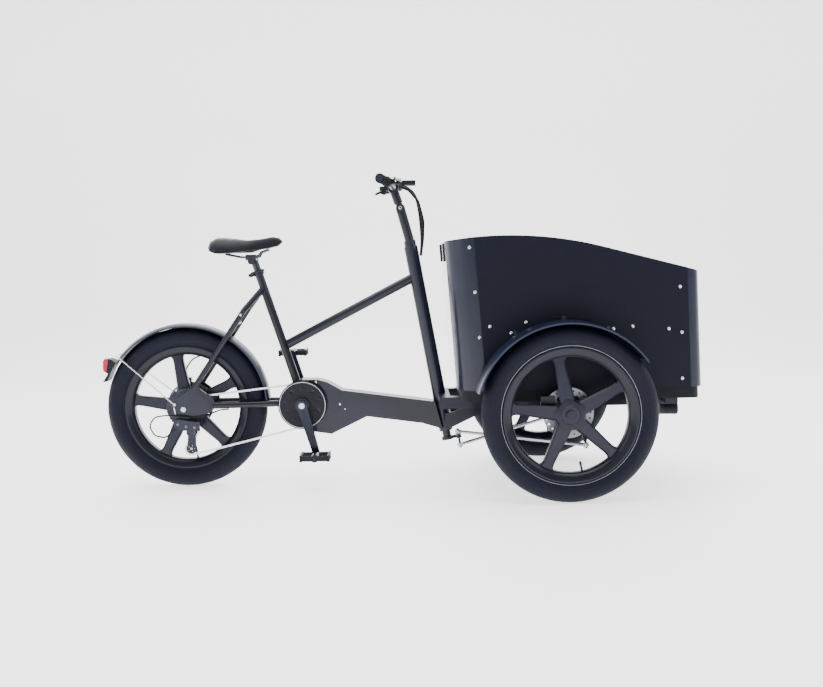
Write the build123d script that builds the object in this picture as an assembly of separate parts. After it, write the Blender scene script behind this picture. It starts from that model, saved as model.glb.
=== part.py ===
"""Front-loading electric cargo trike: two steered front wheels beside a box, one driven rear wheel.

Millimetres. +X points forward, +Y to the rider's left, +Z up. The design values below are measured
from the rear axle and the ground, and every node is shifted by ORIGIN_X when it is written, so that
the finished part stands on its own base centre.
"""
import os
from math import atan2, cos, degrees, radians, sin, sqrt, tan

from build123d import *

# ---- Overall layout -------------------------------------------------------------------------
WHEELBASE = 1257.5          # rear axle to front axle line
TRACK = 800.0               # between the front wheels' middle planes
TYRE_OD = 548.0             # 20 x 2.8 tyre on a 406 mm bead seat
TYRE_WIDTH = 71.0
BEAD_RADIUS = 203.0
AXLE_Z = TYRE_OD / 2
TYRE_R = TYRE_OD / 2
FRONT_Y = TRACK / 2

# ---- Clearances -----------------------------------------------------------------------------
RUN = 0.05                  # radial clearance of a shaft that turns or slides in its bore
GAP = 0.3                   # between faces of pieces that move past each other
SOFT_GAP = 0.3              # between the saddle and its rails

# ---- Wheels ---------------------------------------------------------------------------------
RIM_FLANGE_R = 209.5
RIM_HALF_WIDTH = 30.0
RIM_WALL = 3.0
RIM_INNER_R = 180.0
SPOKES = 5
SPOKE_RIM_WIDTH = 36.0
SPOKE_HUB_WIDTH = 46.0
SPOKE_THICK = 26.0
STAR_R = 52.0
FRONT_SPOKE_ANGLE = 28.9
REAR_SPOKE_ANGLE = 27.3
HUB_R = 30.0
FRONT_HUB_OUT = 20.0        # hub end outboard of the wheel's middle plane
FRONT_HUB_IN = 44.0         # hub end inboard of it
REAR_HUB_HALF = 33.0
STUB_R = 8.5                # front stub axle
REAR_AXLE_R = 6.0
ROTOR_R = 80.0
ROTOR_THICK = 2.0
ROTOR_WINDOW_AT = 47.0      # how far out the middles of the large openings are
ROTOR_WINDOW_R = 12.0
ROTOR_HOLE_AT = 70.0
ROTOR_HOLE_R = 3.0
ROTOR_BOSS_R = 24.0

# ---- Steering -------------------------------------------------------------------------------
HEAD_ANGLE = 9.66           # the steering axis leans back this much from vertical
HEAD_X0 = 916.3             # where the steering axis meets the ground
HEAD_TUBE_OD = 46.0
HEAD_TUBE_BORE = 38.0
HEAD_TUBE_LOW_Z = 172.0
HEAD_TUBE_TOP_Z = 806.0
COLUMN_R = 14.3
BEARING_HEIGHT = 8.0
COLUMN_BOTTOM_Z = 150.0
RISER_Z = 826.0             # the riser stands on the column's collar here
COLLAR_R = 20.0
KINGPIN_Y = 325.0
KINGPIN_R = 8.0
KNUCKLE_R = 15.0
KNUCKLE_HALF = 22.0
STUB_ROOT_R = 14.0
AXLE_NUT_R = 15.0
ARM_REACH = 40.0            # pitman arm and knuckle arms, which are equal
ARM_TOE = 14.0              # how far each arm's end stands out sideways
ARM_DROP = 16.0
ARM_R = 7.0
STUD_R = 4.0
SOCKET_R = 10.0
SOCKET_HEIGHT = 11.0
PITMAN_THICK = 10.0
CALIPER_R = 74.0
CALIPER_ANGLE = 150.0
CALIPER_SLOT = 4.4
ROD_R = 5.5
RIGHT_BALL_Z = 168.0
LEFT_BALL_Z = 118.0
KNUCKLE_BALL_Z = 168.0

# ---- Main frame -----------------------------------------------------------------------------
BB_X = 400.0
BB_Z = 278.0
SEAT_TUBE_OD = 28.6
SEAT_TUBE_BORE = 25.5
SEAT_TUBE_TOP = (260.5, 720.0)
TOP_TUBE_OD = 31.8
TOP_TUBE_REAR = (350.0, 480.8)
TOP_TUBE_FRONT = (790.0, 702.8)
BEAM_WIDTH = 76.0
BEAM_WALL = 3.0
BEAM_OUTLINE = (
    (352.0, 341.0), (372.0, 360.0), (449.0, 361.0), (483.0, 351.7), (534.0, 322.0), (850.0, 276.0),
    (874.0, 182.0), (805.0, 203.2), (617.0, 230.7), (495.0, 173.0), (432.0, 183.0), (352.0, 212.0),
)
MOTOR_R = 72.0
MOTOR_BOSS_R = 44.0
MOTOR_BOSS_HALF = 47.0
SEAT_STAY_OD = 19.0
CHAIN_STAY_OD = 22.0
DROPOUT_INNER = 67.5
DROPOUT_THICK = 6.0
DROPOUT_OUTLINE = (
    (16.0, 338.0), (43.0, 353.0), (98.0, 310.0), (96.0, 262.0), (30.0, 250.0),
    (-14.0, 222.0), (-34.0, 230.0), (-27.0, 262.0), (-37.0, 300.0),
)

# ---- Drive ----------------------------------------------------------------------------------
CRANK_LENGTH = 170.0
CRANK_DIR = (45.3, -162.3)  # where the right crank points at rest
CRANK_AXLE_R = 10.0
CHAIN_Y = -56.0             # chain line
CHAIN_WIDTH = 6.6
CHAIN_HEIGHT = 8.0
CHAINRING_PITCH_R = 72.8
COG_PITCH_R = 34.6
RING_THICK = 1.8
GUARD_R = 81.5
JOCKEY_PITCH_R = 22.5
LOWER_JOCKEY = (19.0, 137.5)
UPPER_JOCKEY = (22.0, 196.0)
COG_RADII = (24.5, 30.3, 38.0, 45.0, 54.0, 66.0)
COG_STEP = 5.0
FIRST_COG_Y = -61.0

# ---- Cargo box ------------------------------------------------------------------------------
BOX_HALF_WIDTH = 300.0
BOX_WALL = 12.0
BOX_BOTTOM_Z = 340.0
BOX_REAR_BOTTOM_X = 918.0
BOX_REAR_TOP_X = 886.5
BOX_FRONT_BOTTOM_X = 1698.0
BOX_FRONT_TOP_X = 1687.5
BOX_REAR_RADIUS = 90.0
BOX_FRONT_RADIUS = 40.0
BOX_REAR_TOP_Z = 817.0
BOX_CREST_X = 1075.0
BOX_CREST_Z = 831.0
BOX_SLOPE_X = 1396.0
BOX_SLOPE_Z = 786.0
BOX_FRONT_TOP_Z = 707.0
FLOOR_THICK = 9.0
FLOOR_GAP = 0.15
TRAY_LIP = 6.0              # how far the tray reaches up inside the walls
TRAY_INSET = 10.0
TRAY_LOW_Z = 303.0

# ---- Front fenders, rear fender -------------------------------------------------------------
FRONT_FENDER_R = 293.0      # inside
FRONT_FENDER_Z = 268.0
FRONT_FENDER_OUT = 445.0
FENDER_THICK = 3.0
REAR_FENDER_R = 284.0
REAR_FENDER_HALF = 41.0

# The finished part's box runs from the mud flap's tip to the box front: its middle is the origin.
REAR_END_X = -283.0
ORIGIN_X = (REAR_END_X + BOX_FRONT_BOTTOM_X) / 2


# ---- Helpers --------------------------------------------------------------------------------
def rod(start, end, radius):
    """A round bar from one point to another."""
    run = Vector(*end) - Vector(*start)
    place = Plane(origin=start, z_dir=run)
    return place * Cylinder(radius, run.length, align=(Align.CENTER, Align.CENTER, Align.MIN))


def across(x, z, radius, y_low, y_high):
    """A round bar along Y."""
    return rod((x, y_low, z), (x, y_high, z), radius)


def block(low, high):
    """A box between two corners."""
    size = [b - a for a, b in zip(low, high)]
    return Pos(*low) * Box(*size, align=(Align.MIN, Align.MIN, Align.MIN))


def plate(points, y_low, y_high):
    """A flat plate with an XZ outline, from y_low to y_high."""
    outline = Plane.XZ.offset(-y_high) * Polyline(*points, close=True)
    return extrude(make_face(outline), amount=y_high - y_low, dir=(0, -1, 0))


def ring_y(section):
    """Turn a closed (radius, y) section about the Y axis through the origin."""
    face = make_face(Polyline(*[(r, y) for r, y in section], close=True))
    return revolve(face, Axis.Y)


def chain_of_rods(points, radius):
    """Straight bars through a list of points, with a ball at each inner one."""
    shape = rod(points[0], points[1], radius)
    for first, last in zip(points[1:-1], points[2:]):
        shape = shape + Pos(*first) * Sphere(radius) + rod(first, last, radius)
    return shape


def bent_tube(points, radii, radius):
    """A round tube along straight runs joined by tangent arcs."""
    path = FilletPolyline(*points, radius=radii)
    start = path @ 0
    section = Plane(origin=start, z_dir=path % 0) * Circle(radius)
    return sweep(section, path=path)


def mirrored(shape):
    """The same shape on the other side of the middle plane."""
    return mirror(shape, about=Plane.XZ)


def unit(x, z):
    """A unit vector in the XZ plane."""
    size = sqrt(x * x + z * z)
    return x / size, z / size


def head_point(z, along=0.0, side=0.0):
    """A point at height z, this far forward of the steering axis and this far to the left."""
    return HEAD_X0 - z * tan(radians(HEAD_ANGLE)) + along, side, z


def kingpin_point(z, side):
    """A point at height z on a kingpin axis, which is parallel to the steering axis."""
    return WHEELBASE + (AXLE_Z - z) * tan(radians(HEAD_ANGLE)), side * KINGPIN_Y, z


def solids_of(shape):
    """Every solid in a shape or a list of shapes."""
    if isinstance(shape, (list, tuple)):
        return [solid for item in shape for solid in solids_of(item)]
    return list(shape.solids())


def save(node, *shapes):
    """Write one node, shifted to the part's own origin."""
    solids = [Pos(-ORIGIN_X, 0, 0) * solid for solid in solids_of(shapes)]
    item = solids[0] if len(solids) == 1 else Compound(children=solids)
    export_step(item, os.path.join("parts", node + ".step"))


os.makedirs("parts", exist_ok=True)


# ---- Wheels, tyres and brake rotors -----------------------------------------------------------
def tyre():
    """A hollow tyre, open towards the rim between its two beads."""
    radius = TYRE_WIDTH / 2
    middle = TYRE_R - radius
    bead = RIM_HALF_WIDTH - RIM_WALL
    skin = 4.5
    outer = Pos(middle, 0) * Circle(radius)
    outer += Pos((BEAD_RADIUS + middle) / 2, 0) * Rectangle(middle - BEAD_RADIUS, 2 * bead)
    inner = Pos(middle, 0) * Circle(radius - skin)
    inner += Pos((BEAD_RADIUS + middle) / 2 - 1, 0) * Rectangle(middle - BEAD_RADIUS + 2, 2 * (bead - 7))
    return revolve(outer - inner, Axis.Y)


def rim():
    """The rim's ring: two flanges, bead seats, a drop well and sides that taper inward."""
    edge = RIM_HALF_WIDTH
    seat = edge - RIM_WALL
    section = (
        (RIM_FLANGE_R, -edge), (RIM_FLANGE_R, -seat), (BEAD_RADIUS, -seat), (BEAD_RADIUS, -18),
        (196, -12), (196, 12), (BEAD_RADIUS, 18), (BEAD_RADIUS, seat), (RIM_FLANGE_R, seat),
        (RIM_FLANGE_R, edge), (198, edge), (186, 22), (RIM_INNER_R, 15), (RIM_INNER_R, -15), (186, -22),
        (198, -edge),
    )
    return ring_y(section)


def wheel(first_angle, hub_low, hub_high, bore_r):
    """A cast five-spoke wheel about the Y axis, with its hub from hub_low to hub_high."""
    half_rim = SPOKE_RIM_WIDTH / 2
    half_hub = SPOKE_HUB_WIDTH / 2
    reach = RIM_INNER_R + 3
    outline = ((20, -half_hub), (reach, -half_rim), (reach, half_rim), (20, half_hub))
    spoke = plate(outline, -SPOKE_THICK / 2, SPOKE_THICK / 2)
    shape = rim() + across(0, 0, STAR_R, -SPOKE_THICK / 2, SPOKE_THICK / 2)
    shape += across(0, 0, HUB_R, hub_low, hub_high)
    for index in range(SPOKES):
        shape += Rot(0, -(first_angle + index * 360 / SPOKES), 0) * spoke
    return shape - across(0, 0, bore_r, hub_low - 1, hub_high + 1)


def rotor(y_middle, bore_r):
    """A drilled brake disc with a spider open between its arms."""
    half = ROTOR_THICK / 2
    shape = across(0, 0, ROTOR_R, y_middle - half, y_middle + half)
    shape -= across(0, 0, bore_r, y_middle - 5, y_middle + 5)
    for index in range(6):
        angle = radians(60 * index)
        x, z = ROTOR_WINDOW_AT * cos(angle), ROTOR_WINDOW_AT * sin(angle)
        shape -= across(x, z, ROTOR_WINDOW_R, y_middle - 5, y_middle + 5)
    for index in range(24):
        angle = radians(15 * index)
        x, z = ROTOR_HOLE_AT * cos(angle), ROTOR_HOLE_AT * sin(angle)
        shape -= across(x, z, ROTOR_HOLE_R, y_middle - 5, y_middle + 5)
    return shape


def at_axle(shape, x, y):
    """Move a wheel-centred shape to its axle."""
    return Pos(x, y, AXLE_Z) * shape


rear_wheel = wheel(REAR_SPOKE_ANGLE, -REAR_HUB_HALF, 56.0, REAR_AXLE_R + RUN)
save("rear_wheel", at_axle(rear_wheel, 0, 0))
save("rear_tyre", at_axle(tyre(), 0, 0))
REAR_ROTOR_Y = 52.0
save("rear_brake_disc", at_axle(rotor(REAR_ROTOR_Y, HUB_R), 0, 0))

FRONT_ROTOR_Y = -(FRONT_HUB_IN - 4.0)          # from the wheel's middle plane, on the left wheel
right_front_wheel = wheel(FRONT_SPOKE_ANGLE, -FRONT_HUB_OUT, FRONT_HUB_IN, STUB_R + RUN)
for side, name in ((-1, "right"), (1, "left")):
    one_wheel = right_front_wheel if side < 0 else mirrored(right_front_wheel)
    save("front_wheel_" + name, at_axle(one_wheel, WHEELBASE, side * FRONT_Y))
    save("front_tyre_" + name, at_axle(tyre(), WHEELBASE, side * FRONT_Y))
    disc = rotor(side * FRONT_ROTOR_Y, HUB_R)
    save("front_brake_disc_" + name, at_axle(disc, WHEELBASE, side * FRONT_Y))

# The rear axle clamps the dropouts between its nuts; the wheel turns on it.
axle_end = DROPOUT_INNER + DROPOUT_THICK
rear_axle = across(0, AXLE_Z, REAR_AXLE_R, -axle_end - 12, axle_end + 12)
spacer_right = across(0, AXLE_Z, 11, -DROPOUT_INNER, -DROPOUT_INNER + 2)
spacer_left = across(0, AXLE_Z, 11, 56.0 + GAP, DROPOUT_INNER)
nut = Pos(0, 0, AXLE_Z) * Rot(90, 0, 0) * extrude(RegularPolygon(9.5, 6), amount=8)
rear_axle += spacer_right + spacer_left + Pos(0, -axle_end, 0) * nut + Pos(0, axle_end + 8, 0) * nut
save("rear_axle", rear_axle)


# ---- Steering knuckles, tie rods and the steering column ---------------------------------------
STEER_UP = Vector(-sin(radians(HEAD_ANGLE)), 0, cos(radians(HEAD_ANGLE)))


def knuckle_ball(side):
    """The centre of the joint that carries a tie rod's outer end."""
    x, y, z = kingpin_point(KNUCKLE_BALL_Z, side)
    return Vector(x + ARM_REACH, y + side * ARM_TOE, z)


def pitman_ball(side):
    """The centre of the joint that carries a tie rod's inner end."""
    x, y, z = head_point(RIGHT_BALL_Z if side < 0 else LEFT_BALL_Z)
    return Vector(x + ARM_REACH, y + side * ARM_TOE, z)


def along_kingpin(side, half, radius):
    """A bar centred on a kingpin axis at axle height."""
    centre = Vector(*kingpin_point(AXLE_Z, side))
    return rod(centre - STEER_UP * half, centre + STEER_UP * half, radius)


def knuckle(side):
    """A kingpin housing with its stub axle, steering arm, stud and brake caliper bracket."""
    king_y = side * KINGPIN_Y
    hub_face = side * (FRONT_Y - FRONT_HUB_IN - GAP)
    nut_face = side * (FRONT_Y + FRONT_HUB_OUT + GAP)
    body = along_kingpin(side, KNUCKLE_HALF, KNUCKLE_R)
    body += rod((WHEELBASE, king_y, AXLE_Z), (WHEELBASE, hub_face, AXLE_Z), STUB_ROOT_R)
    body += rod((WHEELBASE, hub_face, AXLE_Z), (WHEELBASE, nut_face + side * 7, AXLE_Z), STUB_R)
    body += rod((WHEELBASE, nut_face, AXLE_Z), (WHEELBASE, nut_face + side * 10, AXLE_Z), AXLE_NUT_R)
    ball = knuckle_ball(side)
    arm_end = ball + STEER_UP * ARM_DROP
    elbow = Vector(WHEELBASE + 43, king_y + side * 7, AXLE_Z - 10)
    body += chain_of_rods([Vector(WHEELBASE, king_y, AXLE_Z - 6), elbow, arm_end], ARM_R)
    body += Pos(*arm_end) * Sphere(ARM_R)
    body += rod(arm_end, ball - STEER_UP * SOCKET_HEIGHT, STUD_R)
    return body


def front_caliper(side):
    """A caliper that straddles the disc behind the axle, with its bracket."""
    disc_y = side * (FRONT_Y + FRONT_ROTOR_Y)
    angle = radians(CALIPER_ANGLE)
    x = WHEELBASE + CALIPER_R * cos(angle)
    z = AXLE_Z + CALIPER_R * sin(angle)
    body = block((x - 22, disc_y - 12, z - 17), (x + 22, disc_y + 12, z + 17))
    body -= across(WHEELBASE, AXLE_Z, ROTOR_R + 1.5, disc_y - CALIPER_SLOT / 2, disc_y + CALIPER_SLOT / 2)
    start = (WHEELBASE - 6, side * (KINGPIN_Y + 4), AXLE_Z + 6)
    end = (x + 6, disc_y - side * 19, z - 4)
    return body + rod(start, end, 6.5) + rod(end, (end[0], disc_y - side * 8, end[2]), 9)


for side, name in ((-1, "right"), (1, "left")):
    whole = knuckle(side) + front_caliper(side)
    whole -= along_kingpin(side, KNUCKLE_HALF + 20, KINGPIN_R + RUN)
    save("steering_knuckle_" + name, whole)
    inner = pitman_ball(side)
    outer = knuckle_ball(side)
    along = (outer - inner).normalized()
    tie_rod = rod(inner + along * SOCKET_R * 0.6, outer - along * SOCKET_R * 0.6, ROD_R)
    for ball in (inner, outer):
        half = STEER_UP * SOCKET_HEIGHT / 2
        tie_rod += rod(ball - half, ball + half, SOCKET_R)
    for ball in (inner, outer):
        tie_rod -= rod(ball - STEER_UP * 20, ball + STEER_UP * 20, STUD_R + RUN)
    save("tie_rod_" + name, tie_rod)

column = rod(head_point(COLUMN_BOTTOM_Z), head_point(RISER_Z), COLUMN_R)
column += rod(head_point(HEAD_TUBE_TOP_Z + GAP), head_point(RISER_Z), COLLAR_R)
save("steering_column", column)

# The pitman arm is clamped under the column; one stud stands up and the other hangs down.
arm_low = Vector(*head_point(COLUMN_BOTTOM_Z)) - STEER_UP * PITMAN_THICK
arm_top = Vector(*head_point(COLUMN_BOTTOM_Z))
pitman = rod(arm_low, arm_top, 20)
for side in (-1, 1):
    ball = pitman_ball(side)
    level = arm_low + STEER_UP * PITMAN_THICK / 2
    foot = ball + STEER_UP * (level - ball).dot(STEER_UP)
    pitman += rod(foot - STEER_UP * PITMAN_THICK / 2, foot + STEER_UP * PITMAN_THICK / 2, 9)
    pitman += rod(level, foot, PITMAN_THICK / 2 - 0.8)
    tip = ball - STEER_UP * SOCKET_HEIGHT * side
    pitman += rod(foot, tip, STUD_R)
save("pitman_arm", pitman)


# ---- Main frame --------------------------------------------------------------------------------
def seat_tube_point(z):
    """A point on the seat tube's axis, which runs through the bottom bracket."""
    top_x, top_z = SEAT_TUBE_TOP
    return top_x + (BB_X - top_x) * (top_z - z) / (top_z - BB_Z), 0, z


def stay_points(side):
    """A seat stay: it splays out beside the fender, then runs down to its dropout."""
    top = seat_tube_point(674)
    return [(top[0] - 4, side * 8, top[2]), (212, side * 54, 604), (34, side * 66, 342)]


def chain_stay_points(side):
    """A chain stay, from its dropout forward to the motor shell."""
    return [(86, side * 64, 283), (262, side * 51, 283), (352, side * 30, 283)]


def beam_solid(inset):
    """The main beam and motor shell, with its outline drawn in by an inset."""
    face = make_face(Polyline(*BEAM_OUTLINE, close=True)) + Pos(BB_X, BB_Z) * Circle(MOTOR_R + 6)
    if inset:
        face = offset(face, -inset, kind=Kind.INTERSECTION)
    half = BEAM_WIDTH / 2 - inset
    return extrude(Plane.XZ.offset(-half) * face, amount=2 * half, dir=(0, -1, 0))


head_low = head_point(HEAD_TUBE_LOW_Z)
head_top = head_point(HEAD_TUBE_TOP_Z)
head_outer = rod(head_low, head_top, HEAD_TUBE_OD / 2)
beam_cavity = beam_solid(BEAM_WALL)
beam_cavity -= rod(head_point(100), head_point(500), HEAD_TUBE_OD / 2 + 4)

main_frame = beam_solid(0) + head_outer
main_frame += rod(seat_tube_point(SEAT_TUBE_TOP[1] + 17), seat_tube_point(BB_Z + 70), SEAT_TUBE_OD / 2)
top_rear = (TOP_TUBE_REAR[0], 0, TOP_TUBE_REAR[1])
top_front = (TOP_TUBE_FRONT[0], 0, TOP_TUBE_FRONT[1])
main_frame += rod(top_rear, top_front, TOP_TUBE_OD / 2)
for side in (-1, 1):
    main_frame += chain_of_rods(stay_points(side), SEAT_STAY_OD / 2)
    main_frame += chain_of_rods(chain_stay_points(side), CHAIN_STAY_OD / 2)
    y_low = DROPOUT_INNER if side > 0 else -DROPOUT_INNER - DROPOUT_THICK
    main_frame += plate(DROPOUT_OUTLINE, y_low, y_low + DROPOUT_THICK)
    main_frame += block((80, side * 64 - 12, 272), (98, side * 64 + 12, 294))
bridge_x, bridge_z = 182.0, 560.0
main_frame += rod((bridge_x, -56, bridge_z), (bridge_x, 56, bridge_z), 7)
main_frame -= beam_cavity
main_frame -= across(BB_X, BB_Z, MOTOR_BOSS_R, -60, 60)
main_frame -= rod(head_point(60), head_point(900), HEAD_TUBE_BORE / 2)
main_frame -= rod(seat_tube_point(800), seat_tube_point(BB_Z + 90), SEAT_TUBE_BORE / 2)
main_frame -= across(0, AXLE_Z, REAR_AXLE_R, -100, 100)
save("main_frame", main_frame)

bearings = []
for low_z, high_z in ((HEAD_TUBE_LOW_Z, HEAD_TUBE_LOW_Z + 8), (HEAD_TUBE_TOP_Z - 8, HEAD_TUBE_TOP_Z)):
    race = rod(head_point(low_z), head_point(high_z), HEAD_TUBE_BORE / 2)
    bearings.append(race - rod(head_point(60), head_point(900), COLUMN_R + RUN))
save("head_bearings", bearings)

# The drive unit fills the shell round the crank; its bosses show on both sides.
drive_unit = across(BB_X, BB_Z, MOTOR_R, -BEAM_WIDTH / 2 + 4, BEAM_WIDTH / 2 - 4)
drive_unit += across(BB_X, BB_Z, MOTOR_BOSS_R, -MOTOR_BOSS_HALF, MOTOR_BOSS_HALF)
drive_unit -= across(BB_X, BB_Z, CRANK_AXLE_R + RUN, -80, 80)
save("drive_unit", drive_unit)

battery = Pos(722, 0, 250.1) * Rot(0, 8.3, 0) * Box(190, 62, 62)
save("battery_pack", battery)


# ---- Front subframe ----------------------------------------------------------------------------
RAIL_Y = 120.0
RAIL_LOW_Z = 264.0
RAIL_TOP_Z = TRAY_LOW_Z - GAP
RAIL_WIDTH = 38.0
FORK_X = (1242.0, 1277.0)
subframe = block((862, -RAIL_Y - 19, 264), (900, RAIL_Y + 19, RAIL_TOP_Z))
for side in (-1, 1):
    rail_y = side * RAIL_Y
    subframe += block((862, rail_y - 19, RAIL_LOW_Z), (1650, rail_y + 19, RAIL_TOP_Z))
    strut = plate(((884, 236), (908, 240), (1000, 275), (1000, 232), (957, 212), (884, 178)), -6, 6)
    subframe += Pos(0, side * 44, 0) * strut
    subframe += block((990, side * 38, 266), (1010, side * 125, RAIL_TOP_Z)) if side > 0 else block(
        (990, -125, 266), (1010, -38, RAIL_TOP_Z))
subframe += block((884, -50, 182), (904, 50, 238))
subframe += block((1236, -303, 246), (1282, 303, RAIL_TOP_Z))
subframe += block((1600, -200, 276), (1640, 200, RAIL_TOP_Z))
for side in (-1, 1):
    y_low, y_high = sorted((side * 296, side * 343))
    for z_low, z_high in ((241, 251), (296, 304)):
        subframe += block((FORK_X[0], y_low, z_low), (FORK_X[1], y_high, z_high))
for side in (-1, 1):
    subframe -= along_kingpin(side, KNUCKLE_HALF + GAP, KNUCKLE_R + 1.5)
    subframe += along_kingpin(side, 36, KINGPIN_R)
subframe -= rod(head_point(100), head_point(500), HEAD_TUBE_OD / 2)
save("front_subframe", subframe)


# ---- Cargo box ---------------------------------------------------------------------------------
def box_rear_x(z):
    """The rear wall's outer face, which leans back."""
    share = (z - BOX_BOTTOM_Z) / (BOX_REAR_TOP_Z - BOX_BOTTOM_Z)
    return BOX_REAR_BOTTOM_X + (BOX_REAR_TOP_X - BOX_REAR_BOTTOM_X) * share


def box_front_x(z):
    """The front wall's outer face."""
    share = (z - BOX_BOTTOM_Z) / (BOX_FRONT_TOP_Z - BOX_BOTTOM_Z)
    return BOX_FRONT_BOTTOM_X + (BOX_FRONT_TOP_X - BOX_FRONT_BOTTOM_X) * share


def side_outline(inset, low_z, high_z=None):
    """The box's side view: with high_z the top is flat there, without it the top rises to a crest."""
    start = (box_rear_x(low_z) + inset, low_z)
    end = (box_front_x(low_z) - inset, low_z)
    if high_z is not None:
        tops = [(box_front_x(high_z) - inset, high_z), (box_rear_x(high_z) + inset, high_z)]
        return make_face(Polyline(start, end, *tops, close=True))
    front = (BOX_FRONT_TOP_X - inset, BOX_FRONT_TOP_Z)
    knee = (BOX_SLOPE_X, BOX_SLOPE_Z)
    rear = (BOX_REAR_TOP_X + inset, BOX_REAR_TOP_Z)
    sides = Polyline(rear, start, end, front, knee)
    crest = ThreePointArc(knee, (BOX_CREST_X, BOX_CREST_Z), rear)
    return make_face(sides + crest)


def box_body(inset, low_z, high_z=None):
    """The box's outer form, drawn in by an inset, with its upright corners rounded."""
    half = BOX_HALF_WIDTH - inset
    face = Plane.XZ.offset(-half) * side_outline(inset, low_z, high_z)
    solid = extrude(face, amount=2 * half, dir=(0, -1, 0))
    upright = [edge for edge in solid.edges() if edge.bounding_box().size.Z > 0.9 * edge.length]
    middle = (BOX_REAR_BOTTOM_X + BOX_FRONT_BOTTOM_X) / 2
    rear = [edge for edge in upright if edge.center().X < middle]
    solid = fillet(rear, BOX_REAR_RADIUS - inset)
    upright = [edge for edge in solid.edges() if edge.bounding_box().size.Z > 0.9 * edge.length]
    front = [edge for edge in upright if edge.center().X > middle]
    return fillet(front, max(BOX_FRONT_RADIUS - inset, 4))


outer = box_body(0, BOX_BOTTOM_Z)
inner = box_body(BOX_WALL, BOX_BOTTOM_Z - 20, 900)
walls = outer - inner
lean = degrees(atan2(BOX_REAR_BOTTOM_X - BOX_REAR_TOP_X, BOX_REAR_TOP_Z - BOX_BOTTOM_Z))
far = 900
rear_zone = Pos(BOX_REAR_BOTTOM_X, 0, BOX_BOTTOM_Z) * Rot(0, -lean, 0) * block(
    (-200, -far, -100), (BOX_REAR_RADIUS, far, far))
front_lean = degrees(atan2(BOX_FRONT_TOP_X - BOX_FRONT_BOTTOM_X, BOX_FRONT_TOP_Z - BOX_BOTTOM_Z))
front_zone = Pos(BOX_FRONT_BOTTOM_X, 0, BOX_BOTTOM_Z) * Rot(0, front_lean, 0) * block(
    (-BOX_FRONT_RADIUS, -far, -100), (200, far, far))
rear_flat = BOX_HALF_WIDTH - BOX_REAR_RADIUS
rear_middle = block((600, -rear_flat, 0), (1300, rear_flat, far))
front_flat = BOX_HALF_WIDTH - BOX_FRONT_RADIUS
front_middle = block((1300, -front_flat, 0), (2000, front_flat, far))
save("box_side_panels", walls - rear_zone - front_zone)
save("box_rear_panel", (walls & rear_zone) & rear_middle)
save("box_front_panel", (walls & front_zone) & front_middle)
save("box_corner_posts", (walls & rear_zone) - rear_middle, (walls & front_zone) - front_middle)

# The floor stays just clear of the leaning walls, so that a load lies flat on all of it.
floor_z = BOX_BOTTOM_Z + TRAY_LIP
save("box_floor", box_body(BOX_WALL + FLOOR_GAP, floor_z, floor_z + FLOOR_THICK))
tray = box_body(TRAY_INSET, TRAY_LOW_Z, BOX_BOTTOM_Z)
tray += box_body(BOX_WALL, BOX_BOTTOM_Z, floor_z)
save("box_base_tray", tray)

BOLT_R = 5.5
SIDE_BOLTS = (
    (962, 795), (977, 654), (989, 511), (1022, 545), (1089, 523), (1108, 513), (1136, 556),
    (1412, 529), (1473, 536), (1587, 526), (1623, 658), (1628, 514), (1629, 368),
)
bolts = []
for x, z in SIDE_BOLTS:
    for side in (-1, 1):
        head = rod((x, side * BOX_HALF_WIDTH, z), (x, side * (BOX_HALF_WIDTH + 3), z), BOLT_R)
        bolts.append(head)

# A pull latch on each top rear corner holds the rear panel.
latches = []
for side in (-1, 1):
    base = Pos(box_rear_x(780), side * 150, 780) * Rot(0, -lean, 0)
    latches.append(base * block((-6, -14, -28), (0, 14, 32)))
save("box_hardware", bolts, latches)


# ---- Fenders -----------------------------------------------------------------------------------
def fender_arc(radius, thick, y_low, y_high, from_deg, to_deg):
    """A curved sheet about the Y axis between two angles, counted from +X towards +Z."""
    angles = [radians(from_deg), radians((from_deg + to_deg) / 2), radians(to_deg)]
    reach = radius + thick
    inner_arc = ThreePointArc(*[(radius * cos(a), radius * sin(a)) for a in angles])
    outer_arc = ThreePointArc(*[(reach * cos(a), reach * sin(a)) for a in reversed(angles)])
    ends = [Line(inner_arc @ 1, outer_arc @ 0), Line(outer_arc @ 1, inner_arc @ 0)]
    face = make_face([inner_arc, ends[0], outer_arc, ends[1]])
    return extrude(Plane.XZ.offset(-y_high) * face, amount=y_high - y_low, dir=(0, -1, 0))


front_fenders = []
for side in (-1, 1):
    y_low, y_high = sorted((side * BOX_HALF_WIDTH, side * FRONT_FENDER_OUT))
    sheet = fender_arc(FRONT_FENDER_R, FENDER_THICK, y_low, y_high, 35, 164)
    edge = fender_arc(FRONT_FENDER_R - 4, FENDER_THICK + 4, *sorted((side * 441, side * 445)), 35, 164)
    flange = block((-38, min(side * 300, side * 304), 294), (38, max(side * 300, side * 304), 305))
    front_fenders.append(Pos(WHEELBASE - 2, 0, FRONT_FENDER_Z) * (sheet + edge + flange))
save("front_fenders", front_fenders)

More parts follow.
